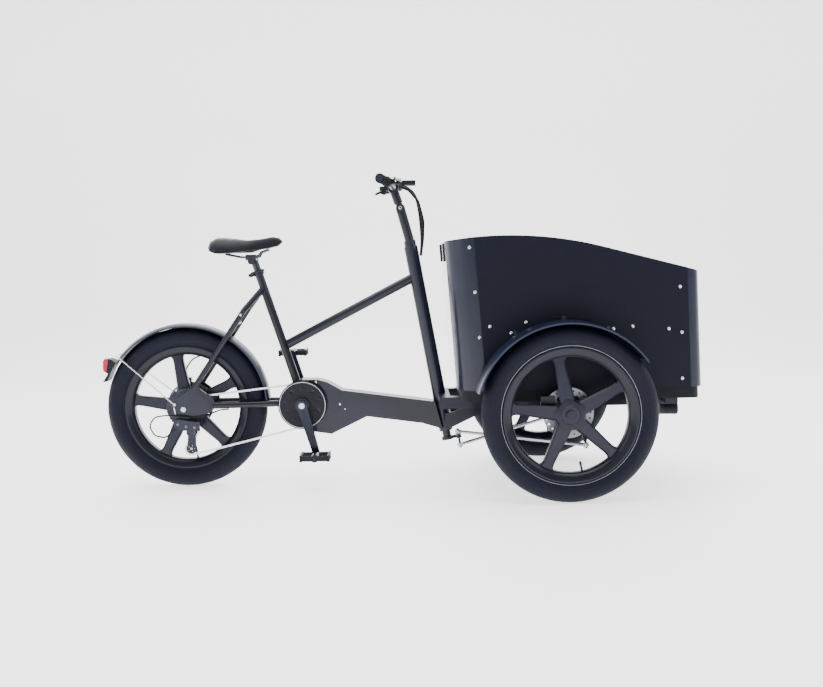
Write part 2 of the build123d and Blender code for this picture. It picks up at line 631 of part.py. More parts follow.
rear_sheet = fender_arc(REAR_FENDER_R, FENDER_THICK, -REAR_FENDER_HALF, REAR_FENDER_HALF, 4, 146)
for side in (-1, 1):
    lip = sorted((side * (REAR_FENDER_HALF - 3), side * REAR_FENDER_HALF))
    rear_sheet += fender_arc(REAR_FENDER_R - 8, 8 + FENDER_THICK, *lip, 4, 146)
rear_fender = Pos(0, 0, AXLE_Z + 1) * rear_sheet
rear_fender -= across(bridge_x, bridge_z, 7, -60, 60)
flap_outline = (
    (-235.5, 433.6), (-238, 435.3), (-248, 442), (-264, 396), (REAR_END_X, 366), (-266, 370), (-253, 402),
)
flap = plate(flap_outline, -28, 28)
lamp = plate(((-261, 447), (-248.4, 442.2), (-264.4, 396), (-271, 396)), -26, 26)
lens = plate(((-279, 447), (-261, 447), (-271, 396), (-282, 400)), -24, 24)
save("tail_light", lamp, lens)

stays = []
for side in (-1, 1):
    y_side = side * (REAR_FENDER_HALF + 2.3)
    eye = rod((-30, side * (DROPOUT_INNER + DROPOUT_THICK), 290), (-30, side * 79, 290), 5)
    stays.append(rod((-222, y_side, 452), (-30, side * 77, 290), 2.0) + eye)
save("rear_fender", rear_fender, flap, stays)


# ---- Lights ------------------------------------------------------------------------------------
HEADLIGHT_X = 1655.0
headlight = rod((HEADLIGHT_X - 30, 0, 231), (HEADLIGHT_X + 30, 0, 231), 21)
headlight += rod((HEADLIGHT_X - 15, 0, 245), (HEADLIGHT_X - 15, 0, 276), 6)
save("headlight", headlight)


# ---- Chain, cassette and derailleur ------------------------------------------------------------
def tangent(first, r_first, second, r_second, side_first, side_second):
    """Where a line touches two circles; a side is +1 for the left of the way from first to second."""
    dx, dz = second[0] - first[0], second[1] - first[1]
    gap = sqrt(dx * dx + dz * dz)
    ux, uz = dx / gap, dz / gap
    sine = (side_second * r_second - side_first * r_first) / gap
    cosine = sqrt(1 - sine * sine)
    nx, nz = -uz * cosine - ux * sine, ux * cosine - uz * sine
    start = (first[0] + nx * r_first * side_first, first[1] + nz * r_first * side_first)
    end = (second[0] + nx * r_second * side_second, second[1] + nz * r_second * side_second)
    return start, end


def chain_face(offset_out):
    """The area inside the chain's loop, grown or shrunk about its pitch line."""
    ring_r = CHAINRING_PITCH_R + offset_out
    cog_r = COG_PITCH_R + offset_out
    lower_r = JOCKEY_PITCH_R + offset_out
    upper_r = JOCKEY_PITCH_R - offset_out
    cog, ring = (0.0, AXLE_Z), (BB_X, BB_Z)
    top = tangent(cog, cog_r, ring, ring_r, 1, 1)
    bottom = tangent(ring, ring_r, LOWER_JOCKEY, lower_r, 1, 1)
    rise = tangent(LOWER_JOCKEY, lower_r, UPPER_JOCKEY, upper_r, 1, -1)
    back = tangent(UPPER_JOCKEY, upper_r, cog, cog_r, -1, 1)
    lines = [Line(*top), Line(*bottom), Line(*rise), Line(*back)]
    arcs = [
        arc_round(ring, ring_r, top[1], bottom[0], (1, 0)),
        arc_round(LOWER_JOCKEY, lower_r, bottom[1], rise[0], unit(-1, -0.6)),
        arc_round(UPPER_JOCKEY, upper_r, rise[1], back[0], (1, 0)),
        arc_round(cog, cog_r, back[1], top[0], (-1, 0)),
    ]
    order = [lines[0], arcs[0], lines[1], arcs[1], lines[2], arcs[2], lines[3], arcs[3]]
    return make_face(order)


def arc_round(centre, radius, start, end, towards):
    """An arc about a centre that passes on the side it is told."""
    middle = (centre[0] + radius * towards[0], centre[1] + radius * towards[1])
    return ThreePointArc(start, middle, end)


half_link = CHAIN_HEIGHT / 2
y_chain = CHAIN_Y + CHAIN_WIDTH / 2
loop = chain_face(half_link) - chain_face(-half_link)
save("drive_chain", extrude(Plane.XZ.offset(-y_chain) * loop, amount=CHAIN_WIDTH, dir=(0, -1, 0)))

cassette = across(0, AXLE_Z, 17, -64, -REAR_HUB_HALF - GAP)
for index, radius in enumerate(COG_RADII):
    cog_y = FIRST_COG_Y + index * COG_STEP
    cog = across(0, AXLE_Z, radius, cog_y - RING_THICK / 2, cog_y + RING_THICK / 2)
    for step in range(6 if radius > 40 else 0):
        angle = radians(60 * step)
        hole_r = (radius - 24) / 2.6
        middle = (radius + 17) / 2
        cog -= across(middle * cos(angle), AXLE_Z + middle * sin(angle), hole_r, cog_y - 3, cog_y + 3)
    cassette += cog
cassette -= across(0, AXLE_Z, REAR_AXLE_R + RUN, -90, 0)
save("cassette", cassette)

CAGE_IN_Y = (-51.0, -49.4)
CAGE_OUT_Y = (-63.0, -61.4)
CAGE_PIN_R = 3.0
body = rod((-23.7, -DROPOUT_INNER - DROPOUT_THICK - GAP, 234), (-23.7, -84, 234), 9)
outer_link = ((-30, 240), (-14, 243), (20, 236), (52, 232), (54, 202), (20, 202), (-16, 208), (-30, 222))
body += plate(outer_link, -96, -78)
body += across(UPPER_JOCKEY[0], UPPER_JOCKEY[1], 13, -90, -CAGE_OUT_Y[0] * -1 - GAP)
save("rear_derailleur_body", body)

cage = None
for y_low, y_high in (CAGE_IN_Y, CAGE_OUT_Y):
    side_plate = across(*UPPER_JOCKEY, 14, y_low, y_high) + across(*LOWER_JOCKEY, 17, y_low, y_high)
    side_plate += plate(((9, 196), (35, 196), (33, 137), (5, 137)), y_low, y_high)
    for centre in (UPPER_JOCKEY, LOWER_JOCKEY):
        side_plate -= across(*centre, 6, y_low - 1, y_high + 1)
        side_plate += across(*centre, 6, y_low, y_high)
    cage = side_plate if cage is None else cage + side_plate
for centre in (UPPER_JOCKEY, LOWER_JOCKEY):
    cage += across(*centre, CAGE_PIN_R, CAGE_OUT_Y[0], CAGE_IN_Y[1])
save("derailleur_cage", cage)

for name, centre in (("upper", UPPER_JOCKEY), ("lower", LOWER_JOCKEY)):
    jockey = across(*centre, JOCKEY_PITCH_R - half_link - GAP, CHAIN_Y - 3, CHAIN_Y + 3)
    for step in range(5):
        angle = radians(72 * step)
        jockey -= across(centre[0] + 11 * cos(angle), centre[1] + 11 * sin(angle), 3.4, -70, -40)
    save("jockey_wheel_" + name, jockey - across(*centre, CAGE_PIN_R + RUN, -70, -40))


# ---- Crankset ----------------------------------------------------------------------------------
RING_R = CHAINRING_PITCH_R - half_link - GAP
CRANK_Y = (-93.0, -79.0)
ux, uz = unit(*CRANK_DIR)
right_end = (BB_X + CRANK_LENGTH * ux, BB_Z + CRANK_LENGTH * uz)
left_end = (BB_X - CRANK_LENGTH * ux, BB_Z - CRANK_LENGTH * uz)
PEDAL_AXLE_R = 5.0
PEDAL_OUT = 95.0

save("crank_axle", across(BB_X, BB_Z, CRANK_AXLE_R, CRANK_Y[0] + 2, -CRANK_Y[0] - 2))

chainring = across(BB_X, BB_Z, RING_R, CHAIN_Y - RING_THICK / 2, CHAIN_Y + RING_THICK / 2)
chainring += across(BB_X, BB_Z, 24, CRANK_Y[1], -MOTOR_BOSS_HALF - GAP)
for step in range(5):
    angle = radians(72 * step + 18)
    chainring -= across(BB_X + 46 * cos(angle), BB_Z + 46 * sin(angle), 15, CHAIN_Y - 2, CHAIN_Y + 2)
chainring -= across(BB_X, BB_Z, CRANK_AXLE_R, -90, -40)
save("chainring", chainring)

GUARD_Y = (-66.5, -63.5)
guard = across(BB_X, BB_Z, GUARD_R, *GUARD_Y)
guard -= across(BB_X, BB_Z, 24, *GUARD_Y)
for step in range(5):
    angle = radians(72 * step + 54)
    guard -= across(BB_X + 58 * cos(angle), BB_Z + 58 * sin(angle), 7, *GUARD_Y)
save("chainring_guard", guard)


def crank_arm(end, direction, y_low, y_high):
    """A crank arm that tapers from its boss to the pedal's eye."""
    dx, dz = direction
    wide, narrow = 17.0, 12.0
    corners = [
        (BB_X - dz * wide, BB_Z + dx * wide), (end[0] - dz * narrow, end[1] + dx * narrow),
        (end[0] + dz * narrow, end[1] - dx * narrow), (BB_X + dz * wide, BB_Z - dx * wide),
    ]
    arm = plate(corners, y_low, y_high) + across(BB_X, BB_Z, 18, y_low, y_high)
    arm += across(*end, 12.5, y_low, y_high)
    return arm - across(BB_X, BB_Z, CRANK_AXLE_R, y_low - 1, y_high + 1)


for name, end, way, sign in (("right", right_end, (ux, uz), -1), ("left", left_end, (-ux, -uz), 1)):
    y_in, y_out = -CRANK_Y[1] * sign, -CRANK_Y[0] * sign
    low, high = min(y_in, y_out), max(y_in, y_out)
    arm = crank_arm(end, way, low, high)
    arm += rod((end[0], y_out - sign, end[1]), (end[0], y_out + sign * PEDAL_OUT, end[1]), PEDAL_AXLE_R)
    arm -= across(BB_X, BB_Z, CRANK_AXLE_R, -100, 100)
    save("crank_arm_" + name, arm)
    pedal_low, pedal_high = sorted((y_out + sign * 3, y_out + sign * (PEDAL_OUT - 2)))
    x, z = end
    pedal = across(x, z, 11, pedal_low, pedal_high)
    for edge_x in (-50, 42):
        pedal += block((x + edge_x, pedal_low, z - 13), (x + edge_x + 8, pedal_high, z + 13))
    for y_end in (pedal_low, pedal_high - 7):
        pedal += block((x - 50, y_end, z - 11), (x + 50, y_end + 7, z + 11))
    save("pedal_" + name, pedal - across(x, z, PEDAL_AXLE_R + RUN, pedal_low - 1, pedal_high + 1))


# ---- Saddle and seat post ----------------------------------------------------------------------
SEAT_POST_R = 12.7
SEAT_POST_LENGTH = 190.0
seat_up = (Vector(*seat_tube_point(700)) - Vector(*seat_tube_point(500))).normalized()
tube_top = Vector(*seat_tube_point(SEAT_TUBE_TOP[1] + 17))
post_top = tube_top + seat_up * 34
seat_post = rod(tube_top - seat_up * (SEAT_POST_LENGTH - 34), post_top, SEAT_POST_R)
clamp_at = Vector(post_top.X - 8, 0, post_top.Z - 2)
seat_post += rod((clamp_at.X, -28, clamp_at.Z), (clamp_at.X, 28, clamp_at.Z), 11)
RAIL_R = 3.5
RAIL_SIDE = 22.0
rail_z = clamp_at.Z + 11 + RAIL_R
rail_ends = ((150, 793), (clamp_at.X - 34, rail_z), (clamp_at.X + 24, rail_z), (270, 797), (296, 806))
saddle_rails = []
for side in (-1, 1):
    points = [(x, side * RAIL_SIDE, z) for x, z in rail_ends]
    saddle_rails.append(chain_of_rods(points, RAIL_R))
    seat_post += block((clamp_at.X - 18, side * RAIL_SIDE - 7, clamp_at.Z + 4),
                       (clamp_at.X + 18, side * RAIL_SIDE + 7, rail_z + RAIL_R + 5))
for rail in saddle_rails:
    seat_post -= rail
save("seat_post", seat_post, saddle_rails)

collar = rod(tube_top - seat_up * 18, tube_top - seat_up * 1, SEAT_TUBE_OD / 2 + 4.5)
pin_at = tube_top - seat_up * 9.5 + Vector(-27, 0, -8)
collar += rod(pin_at + Vector(2, -12, 0), pin_at + Vector(2, 12, 0), 7)
collar += rod(pin_at, tube_top - seat_up * 9.5 + Vector(-12, 0, -3.5), 6)
collar -= rod(tube_top - seat_up * 60, tube_top + seat_up * 10, SEAT_TUBE_OD / 2)
collar -= rod(pin_at - Vector(0, 30, 0), pin_at + Vector(0, 30, 0), 2.5 + RUN)
save("seat_collar", collar)
lever = rod(pin_at + Vector(0, -20, 0), pin_at + Vector(0, 20, 0), 2.5)
lever += rod(pin_at + Vector(0, -20, 0), pin_at + Vector(0, -12 - GAP, 0), 6)
lever += rod(pin_at + Vector(0, 12 + GAP, 0), pin_at + Vector(0, 18, 0), 6)
handle = [pin_at + Vector(0, -16, 0), pin_at + Vector(8, -25, 8), pin_at + Vector(50, -27, 18)]
lever += chain_of_rods(handle, 3.5)
save("seat_clamp_lever", lever)


def saddle_solid():
    """The saddle's closed form: a side outline cut to a plan that is wide behind and narrow in front."""
    side_view = Spline(
        (92, 819), (103, 840), (126, 851), (172, 847.5), (227, 840.6), (264, 844), (310, 850.5), (338, 842.5),
        (347, 830.5))
    under = Spline(
        (347, 830.5), (318, 816), (281, 806.5), (235, 803), (191, 801), (150, 799), (114, 803), (92, 819))
    body = extrude(Plane.XZ.offset(-90) * make_face([side_view, under]), amount=180, dir=(0, -1, 0))
    plan = Spline(
        (90, 0), (96, 48), (128, 76), (176, 70), (226, 40), (290, 22), (338, 16), (349, 0))
    plan_back = Spline(
        (349, 0), (338, -16), (290, -22), (226, -40), (176, -70), (128, -76), (96, -48), (90, 0))
    upright = extrude(Plane.XY.offset(760) * make_face([plan, plan_back]), amount=120, dir=(0, 0, 1))
    return body & upright


saddle = saddle_solid()
saddle_groove = [chain_of_rods([(x, side * RAIL_SIDE, z) for x, z in rail_ends], RAIL_R + SOFT_GAP)
                 for side in (-1, 1)]
for groove in saddle_groove:
    saddle -= groove
save("saddle", saddle)


# ---- Stem, handlebar and controls --------------------------------------------------------------
PIVOT = Vector(746.8, 0, 937.1)
RISER_R = 16.0
BAR_CENTRE = Vector(723, 0, 1006)
riser_foot = Vector(*head_point(RISER_Z))
riser = rod(riser_foot, head_point(RISER_Z + 10), RISER_R)
riser += rod(head_point(RISER_Z + 6), PIVOT, RISER_R)
riser += rod(PIVOT - Vector(0, 9, 0), PIVOT + Vector(0, 9, 0), 15)
riser -= rod(PIVOT - Vector(0, 40, 0), PIVOT - Vector(0, 9, 0), 16)
riser -= rod(PIVOT + Vector(0, 9, 0), PIVOT + Vector(0, 40, 0), 16)
riser_top = PIVOT + (BAR_CENTRE - PIVOT).normalized() * 15.3
riser -= rod(riser_top, riser_top + (BAR_CENTRE - PIVOT), 40)
riser += rod(PIVOT - Vector(0, 17.6, 0), PIVOT + Vector(0, 17.6, 0), 4)
for side in (-1, 1):
    riser += rod(PIVOT + Vector(0, side * 16.3, 0), PIVOT + Vector(0, side * 19, 0), 8)
riser -= rod(head_point(RISER_Z - 40), riser_foot, 40)
save("stem_riser", riser)

stem = rod(PIVOT + (BAR_CENTRE - PIVOT).normalized() * 16.5, BAR_CENTRE, 15)
for side in (-1, 1):
    stem += rod(PIVOT + Vector(0, side * 9.3, 0), PIVOT + Vector(0, side * 16, 0), 14.5)
    cheek = rod(PIVOT, PIVOT + (BAR_CENTRE - PIVOT).normalized() * 24, 14.5)
    low, high = sorted((side * 9.3, side * 16))
    stem += cheek & block((600, low, 800), (900, high, 1100))
stem -= rod(PIVOT - Vector(0, 9.3, 0), PIVOT + Vector(0, 9.3, 0), 15.4)
stem += rod(BAR_CENTRE - Vector(0, 22, 0), BAR_CENTRE + Vector(0, 22, 0), 19)
stem -= rod(PIVOT - Vector(0, 30, 0), PIVOT + Vector(0, 30, 0), 4 + RUN)
BAR_R = 11.1
stem -= rod(BAR_CENTRE - Vector(0, 60, 0), BAR_CENTRE + Vector(0, 60, 0), BAR_R)
save("stem", stem)

BAR_TIP = (686, 312, 1016)
BAR_BEND = (716, 120, 1013)
BAR_INNER = (723, 62, 1006)
GRIP_R = 16.0
GRIP_LENGTH = 118.0
bar_points = []
for side, points in ((-1, (BAR_TIP, BAR_BEND, BAR_INNER)), (1, (BAR_INNER, BAR_BEND, BAR_TIP))):
    bar_points += [(x, side * y, z) for x, y, z in points]
bar = bent_tube(bar_points, [60, 60, 60, 60], BAR_R)
save("handlebar", bar)


def bar_axis(side):
    """The outer end of the bar and the direction along it towards the middle."""
    tip = Vector(BAR_TIP[0], side * BAR_TIP[1], BAR_TIP[2])
    bend = Vector(BAR_BEND[0], side * BAR_BEND[1], BAR_BEND[2])
    return tip, (bend - tip).normalized()


grips = []
for side in (-1, 1):
    tip, inward = bar_axis(side)
    grip = rod(tip - inward * 4, tip + inward * GRIP_LENGTH, GRIP_R)
    grip -= rod(tip, tip + inward * 200, BAR_R)
    grips.append(grip)
save("grips", grips)

LEVER_PIN_R = 3.0
mounts = []
for side, name in ((-1, "right"), (1, "left")):
    tip, inward = bar_axis(side)
    at = tip + inward * (GRIP_LENGTH + 16)
    clamp = rod(at - inward * 9, at + inward * 9, 17)
    pin = at + Vector(36, 0, 0)
    ahead = block((at.X + 8, at.Y - 9, at.Z - 8), (at.X + 46, at.Y + 9, at.Z + 8))
    clamp += ahead
    clamp -= block((at.X + 26, at.Y - 12, at.Z - 4.3), (at.X + 60, at.Y + 12, at.Z + 4.3))
    clamp -= rod(tip, tip + inward * 300, BAR_R)
    clamp -= rod(pin - Vector(0, 0, 20), pin + Vector(0, 0, 20), LEVER_PIN_R + RUN)
    mounts.append(clamp)
    out = Vector(0, side, 0)
    blade_line = [pin + out * 3, pin + out * 18 + Vector(10, 0, 0), tip + Vector(46, -side * 8, 0)]
    blade = chain_of_rods(blade_line, 3.5)
    blade += rod(pin - Vector(0, 0, 8), pin + Vector(0, 0, 8), LEVER_PIN_R)
    blade += rod(pin - Vector(0, 0, 4), pin + Vector(0, 0, 4), 7)
    save("brake_lever_" + name, blade)

tip, inward = bar_axis(-1)
shift_at = tip + inward * (GRIP_LENGTH + 36)
pod = rod(shift_at - inward * 7, shift_at + inward * 7, 16)
pod += rod(shift_at + Vector(-14, 0, -14), shift_at + Vector(-14, 0, -28), 15)
pod -= rod(tip, tip + inward * 300, BAR_R)
pod_pin = shift_at + Vector(-14, 0, -28)
pod += rod(pod_pin, pod_pin - Vector(0, 0, 12), 4)
shift_lever = rod(pod_pin - Vector(0, 0, GAP), pod_pin - Vector(0, 0, 8), 9)
shift_lever += chain_of_rods([pod_pin - Vector(0, 0, 5), pod_pin + Vector(-16, -10, -6),
                              pod_pin + Vector(-26, -24, -12)], 4)
shift_lever -= rod(pod_pin + Vector(0, 0, 5), pod_pin - Vector(0, 0, 30), 4 + RUN)
save("shifter_lever", shift_lever)

display = block((748, -30, 1012), (800, 30, 1028)) + block((716, -6, 1014), (752, 6, 1026))
display -= rod(BAR_CENTRE - Vector(0, 60, 0), BAR_CENTRE + Vector(0, 60, 0), 19)
save("bar_controls", mounts, pod, display)

# The cables run as one sleeve from the controls down to the front of the head tube.
cable_route = [
    (744, -78, 1006), (777, -60, 993), (807, -40, 958), (824, -24, 890), (821, -10, 828), (812.9, 0, 774),
]
CABLE_R = 4.5
save("control_cable_sleeve", bent_tube(cable_route, [24, 60, 110, 110], CABLE_R))


# ---- Rear brake and cables on the frame ---------------------------------------------------------
disc_y = REAR_ROTOR_Y
caliper = block((-32, disc_y - 10, 338), (6, disc_y + 10, 370))
caliper -= across(0, AXLE_Z, ROTOR_R + 1.5, disc_y - CALIPER_SLOT / 2, disc_y + CALIPER_SLOT / 2)
caliper += block((-16, disc_y + 9, 306), (2, DROPOUT_INNER, 346))
save("rear_caliper", caliper)

HOSE_R = 2.5
hose_route = [(-13, disc_y, 370), (-13, disc_y, 400), (8, 62, 432), (52, 76, 450), (98, 74.5, 447)]
cable_loop = [
    (150, -59, 269.2), (120, -62, 268), (80, -67, 253), (40, -79, 246), (-45, -85, 257), (-98, -86, 252),
    (-116, -87, 220), (-98, -87, 188), (-60, -87, 180), (-31, -87, 211),
]
rear_hose = bent_tube(hose_route, [30, 40, 45], HOSE_R)
shift_loop = bent_tube(cable_loop, [60, 50, 60, 60, 30, 24, 24, 22], HOSE_R)
save("frame_cables", rear_hose, shift_loop)
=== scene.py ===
"""Looks of a front-loading cargo trike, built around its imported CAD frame. Metres, +Z up."""

import math

import bmesh
import bpy
from mathutils import Matrix, Vector


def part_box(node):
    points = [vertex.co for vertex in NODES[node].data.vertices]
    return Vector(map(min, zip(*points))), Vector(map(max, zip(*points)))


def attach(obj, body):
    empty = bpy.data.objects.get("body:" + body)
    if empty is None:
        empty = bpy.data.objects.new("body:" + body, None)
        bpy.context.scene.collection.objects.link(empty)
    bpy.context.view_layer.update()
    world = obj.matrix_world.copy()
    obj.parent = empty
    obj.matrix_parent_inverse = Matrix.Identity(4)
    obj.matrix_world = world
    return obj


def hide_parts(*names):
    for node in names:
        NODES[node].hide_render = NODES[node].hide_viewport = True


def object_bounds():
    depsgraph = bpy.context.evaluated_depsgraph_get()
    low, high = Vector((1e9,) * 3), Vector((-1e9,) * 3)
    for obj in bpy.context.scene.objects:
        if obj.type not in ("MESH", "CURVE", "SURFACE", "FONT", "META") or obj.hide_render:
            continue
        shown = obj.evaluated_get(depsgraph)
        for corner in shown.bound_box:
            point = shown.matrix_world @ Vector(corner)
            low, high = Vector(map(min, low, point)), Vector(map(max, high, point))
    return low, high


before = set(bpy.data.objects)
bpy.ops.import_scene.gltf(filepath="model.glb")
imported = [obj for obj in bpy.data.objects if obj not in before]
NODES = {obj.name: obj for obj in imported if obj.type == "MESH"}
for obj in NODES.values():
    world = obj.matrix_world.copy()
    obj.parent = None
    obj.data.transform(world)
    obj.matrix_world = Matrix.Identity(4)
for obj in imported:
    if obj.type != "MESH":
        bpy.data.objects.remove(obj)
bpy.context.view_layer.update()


def middle(node):
    """The middle of a CAD node's box."""
    low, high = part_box(node)
    return (low + high) / 2


REAR_AXLE = middle("rear_tyre")


def at(x, y, z):
    """A place given in millimetres from the rear axle (x), the middle plane (y) and the ground (z)."""
    return Vector((REAR_AXLE.x + x / 1000, y / 1000, z / 1000))


# ---- Materials ----------------------------------------------------------------------------------
def noise(tree, scale, detail, coords):
    """A noise texture in object space."""
    node = tree.nodes.new("ShaderNodeTexNoise")
    node.inputs["Scale"].default_value = scale
    node.inputs["Detail"].default_value = detail
    tree.links.new(coords.outputs["Object"], node.inputs["Vector"])
    return node


def ramp(tree, source, low, high):
    """Map a 0..1 value to a range of numbers."""
    node = tree.nodes.new("ShaderNodeMapRange")
    node.inputs["From Min"].default_value = 0.3
    node.inputs["From Max"].default_value = 0.7
    node.inputs["To Min"].default_value = low
    node.inputs["To Max"].default_value = high
    tree.links.new(source, node.inputs["Value"])
    return node.outputs["Result"]


def finish(name, colour, rough, metal=0.0, coat=0.0, grain=900.0, bump=0.02, shade=0.25, patch=14.0,
           edge=0.0, sheen=0.0, gloss=0.2):
    """A procedural material: two tones of one colour, uneven roughness, a fine surface grain and, where edge
    is set, a painted highlight that lightens convex edges.
    """
    material = bpy.data.materials.new(name)
    material.use_nodes = True
    tree = material.node_tree
    shader = tree.nodes["Principled BSDF"]
    coords = tree.nodes.new("ShaderNodeTexCoord")
    patches = noise(tree, patch, 4.0, coords)
    fine = noise(tree, grain, 3.0, coords)
    mix = tree.nodes.new("ShaderNodeMix")
    mix.data_type = "RGBA"
    mix.inputs[6].default_value = (*[c * (1 - shade) for c in colour], 1)
    mix.inputs[7].default_value = (*[min(c * (1 + shade), 1) for c in colour], 1)
    tree.links.new(ramp(tree, patches.outputs["Fac"], 0, 1), mix.inputs[0])
    base = mix.outputs[2]
    # Painted highlight: convex edges (high pointiness) get a colour lighter by the factor edge, standing in
    # for light catching the edges.
    if edge:
        geometry = tree.nodes.new("ShaderNodeNewGeometry")
        edge_highlight_mask = tree.nodes.new("ShaderNodeMapRange")
        edge_highlight_mask.inputs["From Min"].default_value = 0.53
        edge_highlight_mask.inputs["From Max"].default_value = 0.6
        tree.links.new(geometry.outputs["Pointiness"], edge_highlight_mask.inputs["Value"])
        edge_highlight_mix = tree.nodes.new("ShaderNodeMix")
        edge_highlight_mix.data_type = "RGBA"
        edge_highlight_mix.inputs[7].default_value = (*[min(c * (1 + edge) + 0.003, 1) for c in colour], 1)
        tree.links.new(edge_highlight_mask.outputs["Result"], edge_highlight_mix.inputs[0])
        tree.links.new(base, edge_highlight_mix.inputs[6])
        base = edge_highlight_mix.outputs[2]
    tree.links.new(base, shader.inputs["Base Color"])
    uneven = ramp(tree, patches.outputs["Fac"], rough * 0.85, min(rough * 1.15, 1))
    tree.links.new(uneven, shader.inputs["Roughness"])
    shader.inputs["Metallic"].default_value = metal
    shader.inputs["Specular IOR Level"].default_value = gloss
    shader.inputs["Coat Weight"].default_value = coat
    shader.inputs["Coat Roughness"].default_value = 0.12
    shader.inputs["Sheen Weight"].default_value = sheen
    relief = tree.nodes.new("ShaderNodeBump")
    relief.inputs["Strength"].default_value = min(bump * 10, 1)
    relief.inputs["Distance"].default_value = 0.0004
    tree.links.new(fine.outputs["Fac"], relief.inputs["Height"])
    tree.links.new(relief.outputs["Normal"], shader.inputs["Normal"])
    return material


PAINT = finish("satin_black_paint", (0.002, 0.0026, 0.0085), 0.34, coat=0.35, bump=0.03, edge=1.5)
BEAM_PAINT = finish("satin_beam_paint", (0.0017, 0.0021, 0.0072), 0.42, coat=0.2, bump=0.03, edge=1.2)
PANEL = finish("coated_box_panel", (0.0012, 0.0017, 0.0058), 0.42, coat=0.0, gloss=0.12,
               grain=1500, bump=0.04, patch=6, edge=0.8)
CORNER = finish("box_corner_extrusion", (0.0028, 0.0046, 0.0185), 0.3, coat=0.4, bump=0.015, patch=5)
TRAY = finish("tray_plastic", (0.0018, 0.0022, 0.0049), 0.55, grain=1200, bump=0.05)
FLOORBOARD = finish("film_faced_board", (0.0045, 0.0038, 0.0052), 0.5, grain=400, bump=0.1, patch=30)
FENDER = finish("fender_plastic", (0.006, 0.009, 0.023), 0.33, coat=0.3, bump=0.01, patch=9, edge=1.0)
RUBBER = finish("tyre_rubber", (0.0028, 0.0036, 0.0115), 0.62, grain=1400, bump=0.06, shade=0.3,
                patch=22, edge=0.8)
WHEEL_PAINT = finish("cast_wheel_paint", (0.0019, 0.0025, 0.009), 0.38, coat=0.25, bump=0.03, edge=1.6)
DISC = finish("brake_disc_steel", (0.2, 0.205, 0.22), 0.36, metal=1.0, grain=1800, bump=0.05,
              shade=0.3, patch=40)
STRIPE = finish("reflective_stripe", (0.33, 0.34, 0.37), 0.35, grain=2500, bump=0.05, shade=0.1)
STEEL = finish("bright_steel", (0.62, 0.63, 0.66), 0.26, metal=1.0, grain=2000, bump=0.02, shade=0.12)
CHAIN = finish("chain_steel", (0.78, 0.78, 0.8), 0.3, metal=0.9, grain=2500, bump=0.03, shade=0.2, patch=60)
ZINC = finish("zinc_rod", (0.42, 0.43, 0.47), 0.35, metal=1.0, grain=1800, bump=0.04, shade=0.2)
CASSETTE = finish("cassette_steel", (0.045, 0.047, 0.06), 0.34, metal=0.8, grain=2000,
                  bump=0.04, shade=0.35, patch=40)
BLACK_ALLOY = finish("black_alloy", (0.0027, 0.0034, 0.0085), 0.3, metal=0.2, coat=0.3, bump=0.03, edge=2.0)
POST = finish("black_seat_post", (0.03, 0.033, 0.042), 0.22, metal=0.7, coat=0.4, bump=0.01)
REAR_PANEL = finish("glossy_rear_panel", (0.0043, 0.0053, 0.0124), 0.2, coat=1.0, bump=0.01, gloss=0.6)
CRANK = finish("crank_anodising", (0.0042, 0.0054, 0.0125), 0.28, metal=0.5, coat=0.2, bump=0.02, edge=2.0)
PLASTIC = finish("black_plastic", (0.0024, 0.0028, 0.0052), 0.45, grain=1500, bump=0.08, edge=1.0)
GRIP = finish("grip_rubber", (0.0017, 0.0019, 0.0042), 0.75, grain=1700, bump=0.1)
SADDLE = finish("saddle_cover", (0.0024, 0.003, 0.0076), 0.42, grain=1100, bump=0.09, shade=0.2, sheen=0.15)
CABLE = finish("cable_sleeve", (0.0015, 0.0018, 0.0036), 0.5, grain=1500, bump=0.03)
RED_LENS = finish("red_lens", (0.42, 0.012, 0.03), 0.18, coat=0.6, grain=500, bump=0.05, shade=0.3, patch=80)
CLEAR_LENS = finish("lamp_lens", (0.25, 0.27, 0.3), 0.12, coat=0.8, grain=500, bump=0.04, shade=0.3, patch=90)
BATTERY = finish("battery_case", (0.003, 0.0032, 0.0062), 0.5, bump=0.06)

NODE_MATERIALS = {
    "main_frame": PAINT, "front_subframe": BEAM_PAINT, "head_bearings": STEEL, "drive_unit": BEAM_PAINT,
    "battery_pack": BATTERY, "box_side_panels": PANEL, "box_front_panel": PANEL, "box_rear_panel": REAR_PANEL,
    "box_corner_posts": CORNER, "box_floor": FLOORBOARD, "box_base_tray": TRAY, "box_hardware": BLACK_ALLOY,
    "rear_axle": STEEL, "rear_caliper": BLACK_ALLOY, "headlight": PLASTIC,
    "rear_derailleur_body": BLACK_ALLOY,
    "seat_collar": BLACK_ALLOY, "seat_clamp_lever": BLACK_ALLOY, "seat_post": POST, "crank_axle": STEEL,
    "crank_arm_left": CRANK, "crank_arm_right": CRANK, "chainring": BLACK_ALLOY, "chainring_guard": PLASTIC,
    "pedal_left": PLASTIC, "pedal_right": PLASTIC, "rear_brake_disc": DISC, "cassette": CASSETTE,
    "derailleur_cage": BLACK_ALLOY, "jockey_wheel_upper": PLASTIC, "jockey_wheel_lower": PLASTIC,
    "steering_column": PAINT, "pitman_arm": BEAM_PAINT, "stem_riser": PAINT, "stem": PAINT,
    "handlebar": PAINT, "bar_controls": PLASTIC, "brake_lever_left": BLACK_ALLOY,
    "brake_lever_right": BLACK_ALLOY, "shifter_lever": PLASTIC, "control_cable_sleeve": CABLE,
    "frame_cables": CABLE, "steering_knuckle_left": BEAM_PAINT, "steering_knuckle_right": BEAM_PAINT,
    "tie_rod_left": ZINC, "tie_rod_right": ZINC, "front_brake_disc_left": DISC,
    "front_brake_disc_right": DISC, "tail_light": RED_LENS, "drive_chain": CHAIN, "saddle": SADDLE,
    "front_fenders": FENDER, "rear_fender": FENDER, "grips": GRIP,
    "front_wheel_left": WHEEL_PAINT, "front_wheel_right": WHEEL_PAINT, "rear_wheel": WHEEL_PAINT,
    "front_tyre_left": RUBBER, "front_tyre_right": RUBBER, "rear_tyre": RUBBER,
}


